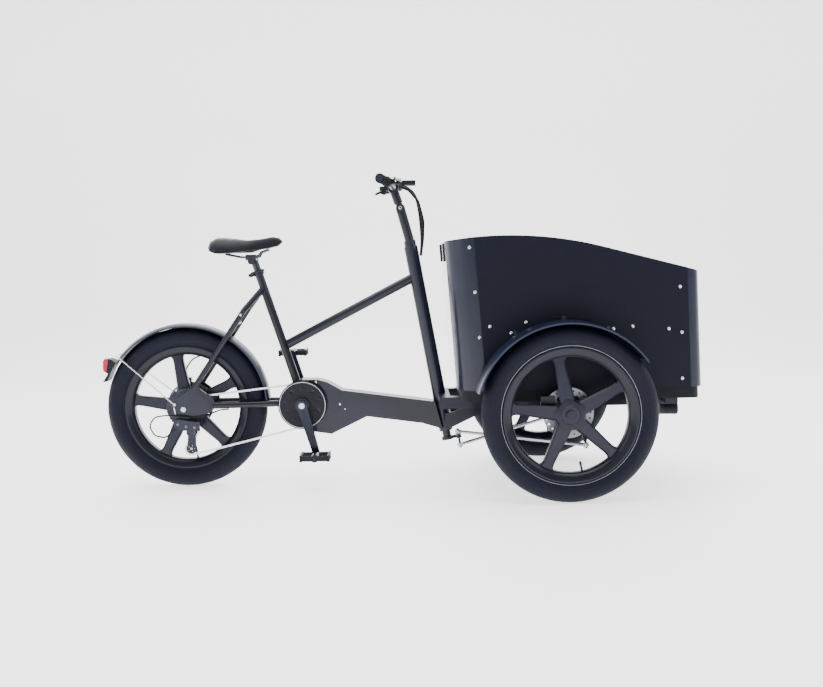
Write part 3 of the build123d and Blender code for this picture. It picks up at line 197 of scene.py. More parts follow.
def dress(node, material):
    """Give a CAD node its procedural material in every slot."""
    piece = NODES[node]
    if not piece.material_slots:
        piece.data.materials.append(material)
    for slot in piece.material_slots:
        slot.material = material


for node_name, node_material in NODE_MATERIALS.items():
    dress(node_name, node_material)


# ---- Mesh helpers -------------------------------------------------------------------------------
def piece_from(name, vertices, faces, body, material, smooth=True):
    """A mesh object that rides on a body."""
    mesh = bpy.data.meshes.new(name)
    mesh.from_pydata([tuple(v) for v in vertices], [], faces)
    mesh.validate()
    build = bmesh.new()
    build.from_mesh(mesh)
    bmesh.ops.remove_doubles(build, verts=build.verts, dist=1e-6)
    bmesh.ops.recalc_face_normals(build, faces=build.faces)
    build.to_mesh(mesh)
    build.free()
    for polygon in mesh.polygons:
        polygon.use_smooth = smooth
    mesh.materials.append(material)
    piece = bpy.data.objects.new(name, mesh)
    bpy.context.scene.collection.objects.link(piece)
    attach(piece, body)
    return piece


def sharpen(piece, degrees=35):
    """Keep edges crisp where faces meet at more than this angle."""
    mesh = piece.data
    build = bmesh.new()
    build.from_mesh(mesh)
    limit = math.radians(degrees)
    for edge in build.edges:
        if len(edge.link_faces) == 2 and edge.calc_face_angle() > limit:
            edge.smooth = False
    build.to_mesh(mesh)
    build.free()
    return piece


class Shape:
    """Vertices and faces gathered from several closed forms."""

    def __init__(self):
        self.vertices = []
        self.faces = []

    def add(self, vertices, faces):
        start = len(self.vertices)
        self.vertices += [Vector(v) for v in vertices]
        self.faces += [tuple(start + i for i in face) for face in faces]

    def grid(self, rows, close_rows=True, close_columns=True, caps=False):
        """Quads between rows of points."""
        count, width = len(rows), len(rows[0])
        flat = [point for row in rows for point in row]
        faces = []
        for i in range(count if close_rows else count - 1):
            for j in range(width if close_columns else width - 1):
                k, m = (i + 1) % count, (j + 1) % width
                faces.append((i * width + j, i * width + m, k * width + m, k * width + j))
        if caps:
            faces.append(tuple(range(width)))
            faces.append(tuple((count - 1) * width + j for j in reversed(range(width))))
        self.add(flat, faces)

    def lathe(self, centre, profile, steps=96):
        """Turn a closed (radius, y) outline in metres about a line along Y."""
        rows = []
        for i in range(steps):
            a = math.tau * i / steps
            rows.append([centre + Vector((r * math.cos(a), y, r * math.sin(a))) for r, y in profile])
        self.grid(rows)

    def bar(self, points, radius, sides=12):
        """A round tube with flat ends through a list of points."""
        rows = []
        for i, point in enumerate(points):
            before = points[max(i - 1, 0)]
            after = points[min(i + 1, len(points) - 1)]
            along = (after - before).normalized()
            across = along.orthogonal() if i == 0 else (across - along * across.dot(along))
            across = across.normalized()
            other = along.cross(across)
            rows.append([point + (across * math.cos(math.tau * k / sides)
                                  + other * math.sin(math.tau * k / sides)) * radius for k in range(sides)])
        self.grid(rows, close_rows=False, caps=True)

    def make(self, name, body, slot, material, smooth=True):
        return piece_from(name, self.vertices, self.faces, body, material, smooth)


# ---- Wheels and tyres ---------------------------------------------------------------------------
TYRE_R = 0.274
TYRE_HALF = 0.0355
RIM_R = 0.2095


def tyre_profile():
    """The tyre's cross-section as (radius, y, tread share): bead to bead round the crown."""
    points = []
    for k in range(41):
        a = math.radians(-128 + 256 * k / 40)
        r = TYRE_R - TYRE_HALF + TYRE_HALF * math.cos(a)
        y = TYRE_HALF * math.sin(a)
        share = max(0.0, 1 - (abs(a) / math.radians(58)) ** 6)
        points.append((r, y, share))
    last = points[-1]
    half_inner = [(RIM_R + 0.0045, last[1] * 0.97), (0.2045, 0.0262), (0.2045, 0.021), (0.215, 0.0225)]
    inner = [(r, y, 0) for r, y in half_inner] + [(r, -y, 0) for r, y in reversed(half_inner)]
    return points + inner


def tread_depth(turn, y, share):
    """How far the tread is cut down: rib grooves and slanted shoulder sipes."""
    if share <= 0:
        return 0.0
    groove = 0.0
    for line in (-0.0115, 0.0, 0.0115):
        groove = max(groove, 1 - abs(y - line) / 0.0016)
    wave = (turn * 84 + abs(y) * 60) % 1.0
    sipe = 1.0 if wave < 0.24 and abs(y) > 0.0135 else 0.0
    return 0.0019 * min(max(groove, sipe), 1.0) * share


def make_tyre(side_name, node, body):
    """A tyre with a grooved tread that replaces its plain CAD ring."""
    centre = middle(node)
    profile = tyre_profile()
    steps = 504
    shape = Shape()
    rows = []
    for i in range(steps):
        a = math.tau * i / steps
        row = []
        for r, y, share in profile:
            reach = r - tread_depth(i / steps, y, share)
            row.append(centre + Vector((reach * math.cos(a), y, reach * math.sin(a))))
        rows.append(row)
    shape.grid(rows)
    piece = shape.make("tyre_" + side_name, body, "tyre_rubber", RUBBER)
    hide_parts(node)
    rings = Shape()
    for side in (-1, 1):
        for r, half in ((0.2335, 0.0006), (0.2215, 0.0005)):
            y = side * (TYRE_HALF * math.sin(math.acos((r - TYRE_R + TYRE_HALF) / TYRE_HALF)))
            rings.lathe(centre, [(r - half, y), (r, y + side * 0.0006), (r + half, y)], 120)
    rings.make("tyre_moulding_" + side_name, body, "tyre_rubber", RUBBER)
    return centre


def make_stripe(name, centre, body):
    """The thin reflective band on both sidewalls."""
    shape = Shape()
    for side in (-1, 1):
        section = [(0.2143, 0.0265), (0.2146, 0.0284), (0.2156, 0.0289), (0.2160, 0.0270)]
        shape.lathe(centre, [(r, side * y) for r, y in section], 160)
    shape.make(name, body, "tyre_rubber", STRIPE)


def spoke_rows(centre, angle, inner_r, outer_r):
    """Cross-sections of one spoke from the hub out: a bevelled bar that narrows and thins."""
    rows = []
    for k in range(13):
        t = k / 12
        r = inner_r + (outer_r - inner_r) * t
        flare = 0.010 * max(0.0, (t - 0.86) / 0.14) ** 2
        half = 0.0235 + (0.0170 - 0.0235) * min(t / 0.8, 1) + flare
        thick = 0.0160 - 0.0035 * t
        bevel = 0.0055
        outline = [(half, thick - bevel), (half - bevel, thick),
                   (-half + bevel, thick), (-half, thick - bevel)]
        outline += [(-u, -v) for u, v in outline]
        radial = Vector((math.cos(angle), 0, math.sin(angle)))
        along = Vector((-math.sin(angle), 0, math.cos(angle)))
        rows.append([centre + radial * r + along * u + Vector((0, v, 0)) for u, v in outline])
    return rows


def make_wheel(name, node, body, centre, first_angle, out_side, hub_half):
    """A cast five-spoke wheel: rim, bevelled spokes, star-shaped hub, cap rings and a valve."""
    shape = Shape()
    edge, seat = 0.030, 0.027
    half_rim = [(0.196, 0.012), (0.2035, 0.018), (0.2035, seat), (RIM_R, seat), (RIM_R, edge),
                (0.2055, edge + 0.0006), (0.2035, edge), (0.199, edge - 0.002), (0.1935, 0.0255),
                (0.188, 0.0225), (0.1835, 0.0175), (0.1805, 0.0145), (0.18, 0.012)]
    rim = half_rim + [(r, -y) for r, y in reversed(half_rim)]
    shape.lathe(centre, rim, 160)
    for k in range(5):
        rows = spoke_rows(centre, math.radians(first_angle + 72 * k), 0.030, 0.1845)
        shape.grid(rows, close_rows=False, caps=True)
    star = []
    for i in range(60):
        a = math.tau * i / 60
        dip = math.cos(5 * (a - math.radians(first_angle)))
        star.append((a, 0.052 + 0.004 * dip))
    rows = []
    for inset, y in ((0.0, 0.0), (0.0, 0.0115), (0.0045, 0.0165), (0.012, 0.0172)):
        rows.append((inset, y))
    profile = [(inset, -y) for inset, y in reversed(rows)] + rows[1:]
    grid = [[centre + Vector(((r - inset) * math.cos(a), y, (r - inset) * math.sin(a))) for a, r in star]
            for inset, y in profile]
    shape.grid(grid, close_rows=False, caps=True)
    wheel = sharpen(shape.make("wheel_" + name, body, "wheel_paint", WHEEL_PAINT))
    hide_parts(node)
    hub = Shape()
    for low, high in ((-hub_half[0], -0.012), (0.012, hub_half[1])):
        hub.lathe(centre, [(0.0092, low), (0.028, low), (0.03, low + 0.002), (0.03, high - 0.002),
                           (0.028, high), (0.0092, high)], 48)
    sharpen(hub.make("hub_" + name, body, "wheel_paint", WHEEL_PAINT))
    valve = Shape()
    a = math.radians(first_angle + 72 * 3 + 36)
    radial = Vector((math.cos(a), 0, math.sin(a)))
    base = centre + Vector((0, out_side * 0.006, 0))
    valve.bar([base + radial * r for r in (0.1815, 0.176, 0.166, 0.158)], 0.0032)
    valve.bar([base + radial * r for r in (0.158, 0.1575, 0.149, 0.1485)], 0.0042)
    valve.make("valve_" + name, body, "grip_rubber", CABLE)


FRONT_ANGLE, REAR_ANGLE = 28.9, 27.3
for side, side_name in ((-1, "right"), (1, "left")):
    tyre_node = "front_tyre_" + side_name
    wheel_body = "front_wheel_" + side_name
    hub_centre = make_tyre("front_" + side_name, tyre_node, wheel_body)
    make_stripe("stripe_front_" + side_name, hub_centre, wheel_body)
    halves = (0.020, 0.044) if side < 0 else (0.044, 0.020)
    make_wheel("front_" + side_name, wheel_body, wheel_body, hub_centre, FRONT_ANGLE, side, halves)
rear_centre = make_tyre("rear", "rear_tyre", "rear_wheel")
make_wheel("rear", "rear_wheel", "rear_wheel", rear_centre, REAR_ANGLE, -1, (0.033, 0.056))


# ---- Fenders ------------------------------------------------------------------------------------
def fender_sheet(centre, radius, y_low, y_high, from_deg, to_deg, crown, lip, thick=0.003, steps=72):
    """A domed sheet round a wheel with rolled edges; crown is how far the edges fall away."""
    section = []
    count = 17
    for k in range(count):
        t = -1 + 2 * k / (count - 1)
        y = y_low + (y_high - y_low) * (t + 1) / 2
        section.append((radius + thick - crown * abs(t) ** 2.6, y))
    under = [(r - thick, y) for r, y in reversed(section)]
    first_y, last_y = section[0][1], section[-1][1]
    outline = section + [(section[-1][0] - lip, last_y), (section[-1][0] - lip, last_y - 0.0025)]
    outline += under[1:-1] + [(section[0][0] - lip, first_y + 0.0025), (section[0][0] - lip, first_y)]
    shape = Shape()
    rows = []
    for i in range(steps + 1):
        a = math.radians(from_deg + (to_deg - from_deg) * i / steps)
        rows.append([centre + Vector((r * math.cos(a), y, r * math.sin(a))) for r, y in outline])
    shape.grid(rows, close_rows=False, caps=True)
    return shape


fender_centre = at(1255.5, 0, 268)
for side, side_name in ((-1, "right"), (1, "left")):
    low_y, high_y = sorted((side * 0.3008, side * 0.445))
    shape = fender_sheet(fender_centre, 0.294, low_y, high_y, 35, 164, 0.0045, 0.005)
    for angle in (62, 90, 121):
        a = math.radians(angle)
        foot = fender_centre + Vector((0.2985 * math.cos(a), 0, 0.2985 * math.sin(a)))
        shape.bar([foot + Vector((0, side * y, 0)) for y in (0.3008, 0.3012, 0.3036, 0.304)], 0.007)
    sharpen(shape.make("front_fender_" + side_name, "frame", "fender_plastic", FENDER), 50)
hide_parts("front_fenders")

rear_shape = fender_sheet(at(0, 0, 275), 0.284, -0.041, 0.041, 4, 146, 0.009, 0.004)
rear_sheet = sharpen(rear_shape.make("rear_fender_sheet", "frame", "fender_plastic", FENDER), 50)
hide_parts("rear_fender")
flap_shape = Shape()
flap_line = [(-235.5, 433.6), (-238, 435.3), (-248, 442), (-264, 396), (-282.6, 366.4), (-266, 370),
             (-253, 402)]
flap_rows = [[at(x, y, z) for x, z in flap_line] for y in (-28, -14, 0, 14, 28)]
flap_shape.grid(flap_rows, close_rows=False, caps=True)
sharpen(flap_shape.make("mud_flap", "frame", "fender_plastic", PLASTIC))
stay_shape = Shape()
for side in (-1, 1):
    stay_shape.bar([at(-236, side * 20, 457), at(-228, side * 40, 457), at(-221, side * 43.4, 451),
                    at(-34, side * 76.6, 293), at(-30, side * 77, 290)], 0.0019, 8)
    stay_shape.bar([at(-30, side * y, 290) for y in (73.6, 74, 79, 79.4)], 0.005)
stay_shape.make("rear_fender_stays", "frame", "steel_bolts", STEEL)

lamp = Shape()
lamp_rows = []
for y, shrink in ((-24, 3), (-22, 0.8), (-17, 0), (17, 0), (22, 0.8), (24, 3)):
    lens_line = [(-261 - shrink * 0.2, 447 - shrink), (-276 + shrink, 447 - shrink), (-281.5 + shrink, 440),
                 (-282.5 + shrink, 412), (-280 + shrink, 401 + shrink), (-270, 398 + shrink)]
    lamp_rows.append([at(x, y, z) for x, z in lens_line])
lamp.grid(lamp_rows, close_rows=False, caps=True)
lens = sharpen(lamp.make("tail_lamp_lens", "frame", "lamp_red", RED_LENS), 30)
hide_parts("tail_light")
case = Shape()
case_line = [(-248.6, 442), (-260.6, 447), (-270, 397.5), (-264.2, 397)]
case.grid([[at(x, y, z) for x, z in case_line] for y in (-26, 26)], close_rows=False, caps=True)
sharpen(case.make("tail_lamp_case", "frame", "lamp_black", PLASTIC), 30)


# ---- Saddle -------------------------------------------------------------------------------------
def blend(table, x):
    """Smooth value at x from (x, value) pairs."""
    for (x0, v0), (x1, v1) in zip(table, table[1:]):
        if x <= x1:
            t = max((x - x0) / (x1 - x0), 0)
            t = t * t * (3 - 2 * t) * 0.5 + t * 0.5
            return v0 + (v1 - v0) * t
    return table[-1][1]


SADDLE_TOP = [(95, 826), (103, 840), (126, 850), (150, 850), (172, 847), (227, 840.6), (264, 843.5),
              (310, 849.5), (330, 846), (342, 836)]
SADDLE_HALF = [(95, 30), (99, 54), (108, 68), (126, 76), (150, 75), (176, 68), (200, 54), (226, 40),
               (260, 27), (290, 21.5), (325, 18), (338, 13), (342, 6)]
SADDLE_SKIRT = [(95, 819), (105, 803), (125, 796), (160, 796.5), (200, 800), (240, 804.5), (290, 810),
                (325, 817), (342, 830)]


def make_saddle():
    """A padded saddle: domed cover, pressure channel, turned-under skirt and piped edge."""
    shape = Shape()
    stations = [95 + (342 - 95) * (0.5 - 0.5 * math.cos(math.pi * k / 56)) for k in range(57)]
    rows = []
    edge_left, edge_right = [], []
    for x in stations:
        top, half, skirt = blend(SADDLE_TOP, x), blend(SADDLE_HALF, x), blend(SADDLE_SKIRT, x)
        channel = 3.2 * math.exp(-((x - 225) / 62) ** 2)
        row = []
        for k in range(37):
            u = -1 + 2 * k / 36
            y = half * math.sin(u * math.pi / 2 * 0.985)
            dome = (1 - abs(math.sin(u * math.pi / 2 * 0.985)) ** 3.0)
            z = skirt + (top - skirt) * max(dome, 0) ** 0.6
            z -= channel * math.exp(-(y / 9.0) ** 2)
            row.append(at(x, y, z))
        for k in range(1, 12):
            u = 1 - 2 * k / 12
            row.append(at(x, (half - 3.5) * u, skirt - 1.5 + 1.5 * u * u))
        rows.append(row)
        edge_left.append(at(x, half + 0.3, skirt + 1))
        edge_right.append(at(x, -half - 0.3, skirt + 1))
    shape.grid(rows, close_rows=False, caps=True)
    cover = shape.make("saddle_cover", "seat", "saddle_skin", SADDLE)
    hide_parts("saddle")
    trim = Shape()
    trim.bar(edge_left[2:-1], 0.0013, 8)
    trim.bar(edge_right[2:-1], 0.0013, 8)
    trim.make("saddle_piping", "seat", "saddle_skin", PLASTIC)
    return cover


saddle_cover = make_saddle()
under = Shape()
for side in (-1, 1):
    under.bar([at(x, side * y, z) for x, y, z in
               ((118, 30, 812), (126, 27, 806), (140, 23.5, 801), (190, 22, 799.5), (232, 22, 800),
                (262, 17, 808), (282, 11, 817))], 0.0034)
    under.bar([at(x, side * 30, z) for x, z in ((111, 813), (112, 812.5), (128, 808.5), (129, 808))], 0.0065)
under.make("saddle_rails", "seat", "post_steel", POST)


# ---- Grips and bar --------------------------------------------------------------------------------
def circle(centre, across, other, radius, count):
    """Points round a circle in the plane of two unit vectors."""
    angles = [math.tau * k / count for k in range(count)]
    return [centre + (across * math.cos(a) + other * math.sin(a)) * radius for a in angles]


def make_grip(side, side_name):
    """A ribbed rubber grip with a flared inner collar and a closed end."""
    tip, bend = at(686, side * 312, 1016), at(716, side * 120, 1013)
    along = (bend - tip).normalized()
    profile = [(0.0, 0.008), (0.0004, 0.0135), (0.003, 0.0158), (0.0075, 0.0158), (0.009, 0.0146)]
    s = 0.012
    while s < 0.103:
        profile += [(s, 0.0141), (s + 0.0008, 0.0152), (s + 0.0026, 0.0152), (s + 0.0034, 0.0141)]
        s += 0.0049
    profile += [(0.1085, 0.0146), (0.110, 0.0158), (0.116, 0.0158), (0.1178, 0.0146), (0.118, 0.0112)]
    across = along.orthogonal().normalized()
    other = along.cross(across)
    shape = Shape()
    rows = [circle(tip + along * s, across, other, r, 40) for s, r in profile]
    shape.grid(rows, close_rows=False, caps=True)
    grip = shape.make("grip_" + side_name, "handlebar", "grip_rubber", GRIP)
    ring = Shape()
    collar = [(0.1182, 0.0112), (0.1182, 0.0146), (0.119, 0.0151), (0.1222, 0.0151), (0.123, 0.0146),
              (0.123, 0.0112)]
    ring.grid([circle(tip + along * s, across, other, r, 32) for s, r in collar])
    sharpen(ring.make("grip_ring_" + side_name, "handlebar", "grip_rubber", BLACK_ALLOY))
    return grip


grip_pieces = [make_grip(-1, "right"), make_grip(1, "left")]
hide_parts("grips")


# ---- Chain, ring and cogs -------------------------------------------------------------------------
def tangent(first, r_first, second, r_second, side_first, side_second):
    """Where a line touches two circles; a side is +1 for the left of the way from first to second."""
    along = (second - first) / (second - first).length
    sine = (side_second * r_second - side_first * r_first) / (second - first).length
    cosine = math.sqrt(1 - sine * sine)
    normal = Vector((-along.y * cosine - along.x * sine, along.x * cosine - along.y * sine))
    return first + normal * r_first * side_first, second + normal * r_second * side_second


def arc_between(centre, start, end, turn):
    """Points about 1 mm apart round a circle; turn is +1 for anticlockwise in (x, z)."""
    a = math.atan2(start.y - centre.y, start.x - centre.x)
    b = math.atan2(end.y - centre.y, end.x - centre.x)
    sweep = (b - a) * turn % math.tau
    radius = (start - centre).length
    count = max(int(sweep * radius), 2)
    return [centre + Vector((math.cos(a + turn * sweep * k / count), math.sin(a + turn * sweep * k / count)))
            * radius for k in range(count)]


def line_between(start, end):
    count = max(int((end - start).length), 2)
    return [start.lerp(end, k / count) for k in range(count)]


COG, RING = Vector((0, 274)), Vector((400, 278))
LOWER, UPPER = Vector((19, 137.5)), Vector((22, 196))
COG_R, RING_R, JOCKEY_R = 34.6, 72.8, 22.5
CHAIN_Y = -56
HALF_LINK = 6.35

top = tangent(COG, COG_R, RING, RING_R, 1, 1)
bottom = tangent(RING, RING_R, LOWER, JOCKEY_R, 1, 1)
rise = tangent(LOWER, JOCKEY_R, UPPER, JOCKEY_R, 1, -1)
back = tangent(UPPER, JOCKEY_R, COG, COG_R, -1, 1)
route = line_between(*top) + arc_between(RING, top[1], bottom[0], -1) + line_between(*bottom)
route += arc_between(LOWER, bottom[1], rise[0], -1) + line_between(*rise)
route += arc_between(UPPER, rise[1], back[0], 1) + line_between(*back) + arc_between(COG, back[1], top[0], -1)


def spaced(points, count):
    """Points at even distances round a closed line."""
    lengths = [0.0]
    for p, q in zip(points, points[1:] + points[:1]):
        lengths.append(lengths[-1] + (q - p).length)
    total = lengths[-1]
    result, index = [], 0
    for k in range(count):
        want = total * k / count
        while lengths[index + 1] < want:
            index += 1
        part = (want - lengths[index]) / max(lengths[index + 1] - lengths[index], 1e-9)
        result.append(points[index].lerp(points[(index + 1) % len(points)], part))
    return result


def make_chain():
    """A roller chain: waisted side plates, alternately inner and outer, with rollers and pins."""
    total = sum((q - p).length for p, q in zip(route, route[1:] + route[:1]))
    count = 2 * round(total / (4 * HALF_LINK))
    pins = spaced(route, count)
    shape = Shape()
    for k in range(count):
        p, q = pins[k], pins[(k + 1) % count]
        along = (q - p).normalized()
        across = Vector((-along.y, along.x))
        outer = k % 2 == 0
        outline = []
        for i in range(20):
            t = math.tau * i / 20
            lean = math.cos(t)
            if abs(lean) <= 0.35:
                reach, height = HALF_LINK * lean / 0.35, 3.0
            else:
                reach, height = 0.96 * (math.copysign(HALF_LINK, lean) + 4 * lean), 4.1
            outline.append((p + q) / 2 + along * reach + across * height * math.sin(t))
        for side in (-1, 1):
            near, far = (2.35, 3.2) if outer else (1.4, 2.25)
            rows = [[at(o.x, CHAIN_Y + side * y, o.y) for o in outline] for y in (near, far)]
            shape.grid(rows, close_rows=False, caps=True)
        shape.bar([at(p.x, CHAIN_Y + y, p.y) for y in (-3.3, -1.35)], 0.0018, 8)
        shape.bar([at(p.x, CHAIN_Y + y, p.y) for y in (1.35, 3.3)], 0.0018, 8)
        shape.bar([at(p.x, CHAIN_Y + y, p.y) for y in (-1.38, 1.38)], 0.0038, 10)
    chain = sharpen(shape.make("roller_chain", "frame", "chain_steel", CHAIN))
    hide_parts("drive_chain")


make_chain()


def toothed(name, body, slot, material, centre, y_low, y_high, root_r, tip_r, teeth, bore_r):
    """A sprocket with teeth and a bevelled rim."""
    outline = []
    for t in range(teeth):
        for share, r in ((0.0, root_r), (0.16, root_r), (0.36, tip_r - 0.0006), (0.44, tip_r), (0.56, tip_r),
                         (0.64, tip_r - 0.0006), (0.84, root_r)):
            outline.append((math.tau * (t + share) / teeth, r))
    rows = []
    bore = [(a, bore_r) for a, _ in outline]
    for y, loop in ((y_low, bore), (y_low, outline), (y_high, outline), (y_high, bore)):
        rows.append([centre + Vector((r * math.cos(a), y, r * math.sin(a))) for a, r in loop])
    shape = Shape()
    shape.grid(rows)
    return sharpen(shape.make(name, body, slot, material))


def cog_teeth(radius):
    """The number of teeth that a half-inch chain needs at this pitch radius."""
    return max(round(math.tau * radius / 12.7), 11)


wheel_centre = middle("rear_tyre")
for index, radius in enumerate((24.5, 30.3, 38.0, 45.0, 54.0, 66.0)):
    cog_y = (-61 + index * 5) / 1000
    if index == 1:
        continue
    name = "cog_rim_%d" % (index + 1)
    toothed(name, "cassette", "cassette_steel", CASSETTE, wheel_centre, cog_y - 0.00101, cog_y + 0.00101,
            (radius - 2.5) / 1000, (radius + 2.6) / 1000, cog_teeth(radius), (radius - 6) / 1000)

ring_centre = middle("chainring")
toothed("chainring_rim", "crankset", "crank_black", BLACK_ALLOY, ring_centre, -0.0011, 0.0011, 0.0675, 0.0688,
        36, 0.061)

guard_box_low, guard_box_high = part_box("chainring_guard")
guard_centre = (guard_box_low + guard_box_high) / 2
guard = Shape()
guard_lip = [(0.0795, -0.0010), (0.0812, -0.0015), (0.0822, 0.0), (0.0812, 0.0015), (0.0795, 0.0010)]
guard.lathe(guard_centre, guard_lip, 120)
sharpen(guard.make("guard_lip", "crankset", "guard_black", PLASTIC), 60)
ring_band = Shape()
ring_band.lathe(guard_centre, [(0.0766, -0.0014), (0.0766, -0.0020), (0.0770, -0.0023), (0.0780, -0.0023),
                               (0.0784, -0.0020), (0.0784, -0.0014)], 120)
ring_band.make("guard_bright_ring", "crankset", "guard_black", STEEL)
screws = Shape()
screw_head = [(0.0001, -0.0036), (0.0026, -0.0036), (0.0042, -0.0030), (0.0046, -0.0014), (0.0001, -0.0014)]
for k in range(5):
    a = math.tau * (k + 0.3) / 5
    spot = guard_centre + Vector((0.058 * math.cos(a), 0, 0.058 * math.sin(a)))
    screws.lathe(spot, screw_head, 20)
screws.make("guard_screws", "crankset", "guard_black", BLACK_ALLOY)


# ---- Pedals ---------------------------------------------------------------------------------------
def make_pedal(side_name):
    """A platform pedal: caged frame, cross ribs, grip pins and a round spindle core."""
    node = "pedal_" + side_name
    low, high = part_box(node)
    mid = (low + high) / 2
    half = (high - low) / 2
    shape = Shape()

    def slab(x0, x1, y0, y1, z0, z1, bevel=0.0018):
        rows = []
        for y, inset in ((y0, bevel), (y0 + bevel, 0), (y1 - bevel, 0), (y1, bevel)):
            left, right_x, low_z, high_z = x0 + inset, x1 - inset, z0 + inset, z1 - inset
            corners = ((left + bevel, low_z), (right_x - bevel, low_z), (right_x, low_z + bevel),
                       (right_x, high_z - bevel), (right_x - bevel, high_z), (left + bevel, high_z),
                       (left, high_z - bevel), (left, low_z + bevel))
            rows.append([mid + Vector((x, y, z)) for x, z in corners])
        shape.grid(rows, close_rows=False, caps=True)

    y_in, y_out = -half.y + 0.0005, half.y - 0.0005
    for x in (-half.x, half.x - 0.009):
        slab(x, x + 0.009, y_in, y_out, -0.0105, -0.0060, 0.0012)
        slab(x, x + 0.009, y_in, y_out, 0.0060, 0.0105, 0.0012)
        for share in (0.0, 0.32, 0.64, 0.96):
            y = y_in + share * (y_out - y_in - 0.006)
            slab(x + 0.0008, x + 0.0082, y, y + 0.006, -0.0075, 0.0075, 0.0008)
    slab(-half.x + 0.007, half.x - 0.007, y_in, y_in + 0.007, -0.0085, 0.0085)
    slab(-half.x + 0.007, half.x - 0.007, y_out - 0.007, y_out, -0.0085, 0.0085)
    for share in (-0.42, -0.14, 0.14, 0.42):
        y = share * (y_out - y_in)
        slab(-half.x + 0.008, half.x - 0.008, y - 0.0016, y + 0.0016, -0.006, 0.006, 0.0006)
    body = node
    pedal = sharpen(shape.make("pedal_cage_" + side_name, body, "pedal_black", PLASTIC))
    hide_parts(node)
    core = Shape()
    core.lathe(mid, [(0.0078, y_in + 0.002), (0.0125, y_in + 0.002), (0.0130, y_in + 0.004),
                     (0.0130, y_out - 0.014), (0.0115, y_out - 0.008), (0.0078, y_out - 0.006)], 36)
    sharpen(core.make("pedal_core_" + side_name, body, "pedal_black", BLACK_ALLOY))
    pins = Shape()
    for x in (-half.x + 0.005, half.x - 0.005):
        for k in range(5):
            y = y_in + 0.008 + (y_out - y_in - 0.016) * k / 4
            for z in (-1, 1):
                spot = mid + Vector((x, y, z * 0.0103))
                pins.bar([spot + Vector((0, 0, z * d)) for d in (-0.002, 0.0012)], 0.0013, 8)
    pins.make("pedal_pins_" + side_name, body, "pedal_black", STEEL)


make_pedal("left")
make_pedal("right")


# ---- Headlight ------------------------------------------------------------------------------------
lamp_shell = Shape()
light_axis = at(0, 0, 231)


def turned_x(shape, profile, steps=64):
    """Turn a closed (x in mm from the rear axle, radius in mm) outline about the lamp's line."""
    rows = []
    for i in range(steps):
        a = math.tau * i / steps
        rows.append([light_axis + Vector((x / 1000, r / 1000 * math.cos(a), r / 1000 * math.sin(a)))
                     for x, r in profile])
    shape.grid(rows)


turned_x(lamp_shell, [(1624.4, 0.2), (1624.4, 15), (1626, 17.5), (1632, 20.2), (1642, 21.4), (1664, 21.6),
                      (1664.6, 20.9), (1666.4, 20.9), (1667, 21.8), (1680, 22.2), (1685.4, 21.4),
                      (1685.4, 19.4), (1682, 18.8), (1682, 0.2)])
sharpen(lamp_shell.make("headlight_shell", "frame", "lamp_black", PLASTIC), 40)
lamp_glass = Shape()
turned_x(lamp_glass, [(1681, 0.2), (1681, 19), (1684.5, 18.8), (1687, 14), (1688.4, 7), (1688.8, 0.2)])
sharpen(lamp_glass.make("headlight_lens", "frame", "lamp_black", CLEAR_LENS), 60)


# ---- Box bolts and trim ---------------------------------------------------------------------------
SIDE_BOLTS = [(962, 795), (977, 654), (989, 511), (1022, 545), (1089, 523), (1108, 513), (1136, 556),
              (1412, 529), (1473, 536), (1587, 526), (1623, 658), (1628, 514), (1629, 368)]
BOLT_HEAD = [(0.0001, 0.3020), (0.0054, 0.3020), (0.0056, 0.3028), (0.0050, 0.3040), (0.0036, 0.3049),
             (0.0020, 0.3052), (0.0019, 0.3040), (0.0001, 0.3040)]
bolt_heads = Shape()
for side in (-1, 1):
    for x, z in SIDE_BOLTS:
        bolt_heads.lathe(at(x, 0, z), [(r, side * y) for r, y in BOLT_HEAD], 20)
sharpen(bolt_heads.make("box_bolt_heads", "frame", "steel_bolts", STEEL), 50)
strip = Shape()
for side in (-1, 1):
    inner_y, outer_y = side * 299.8, side * 301.2
    strip_rows = [[at(x, inner_y, z), at(x, outer_y, z), at(x, outer_y, z + 3), at(x, inner_y, z + 3)]
                  for x, z in ((1219, 571), (1221, 570), (1291, 570), (1293, 571))]
    strip.grid(strip_rows, close_rows=False, caps=True)
sharpen(strip.make("box_side_slot_trim", "frame", "box_panel", PLASTIC))


# ---- Frame bolts and bar cables -------------------------------------------------------------------
BEAM_HALF = 38


def dome(shape, spot, out_y, radius, height):
    """A low round bolt head whose base is at spot and which faces along Y."""
    profile = [(0.0001, -0.0012), (radius, -0.0012), (radius, height * 0.35), (radius * 0.86, height * 0.75),
               (radius * 0.5, height), (radius * 0.46, height * 0.55), (0.0001, height * 0.55)]
    shape.lathe(spot, [(r, out_y * y) for r, y in profile], 20)


frame_bolts = Shape()
for side in (-1, 1):
    for x, z, r in ((445.8, 352.4, 5), (525.6, 275, 4.5), (542.2, 257.4, 3.2)):
        dome(frame_bolts, at(x, side * BEAM_HALF, z), side, r / 1000, 0.003)
    for x, z in ((201, 588), (163, 532)):
        dome(frame_bolts, at(x, side * 63.6, z), side, 0.0045, 0.003)
sharpen(frame_bolts.make("beam_bolts", "frame", "steel_bolts", STEEL), 50)

cable_run = Shape()


def soft_curve(points, per_span=10):
    """A smooth line through places (Catmull-Rom)."""
    whole = [points[0] * 2 - points[1]] + points + [points[-1] * 2 - points[-2]]
    result = []
    for i in range(1, len(whole) - 2):
        a, b, c, d = whole[i - 1:i + 3]
        for k in range(per_span):
            t = k / per_span
            result.append(0.5 * (2 * b + (c - a) * t + (2 * a - 5 * b + 4 * c - d) * t * t
                                 + (3 * b - a - 3 * c + d) * t ** 3))
    return result + [points[-1]]


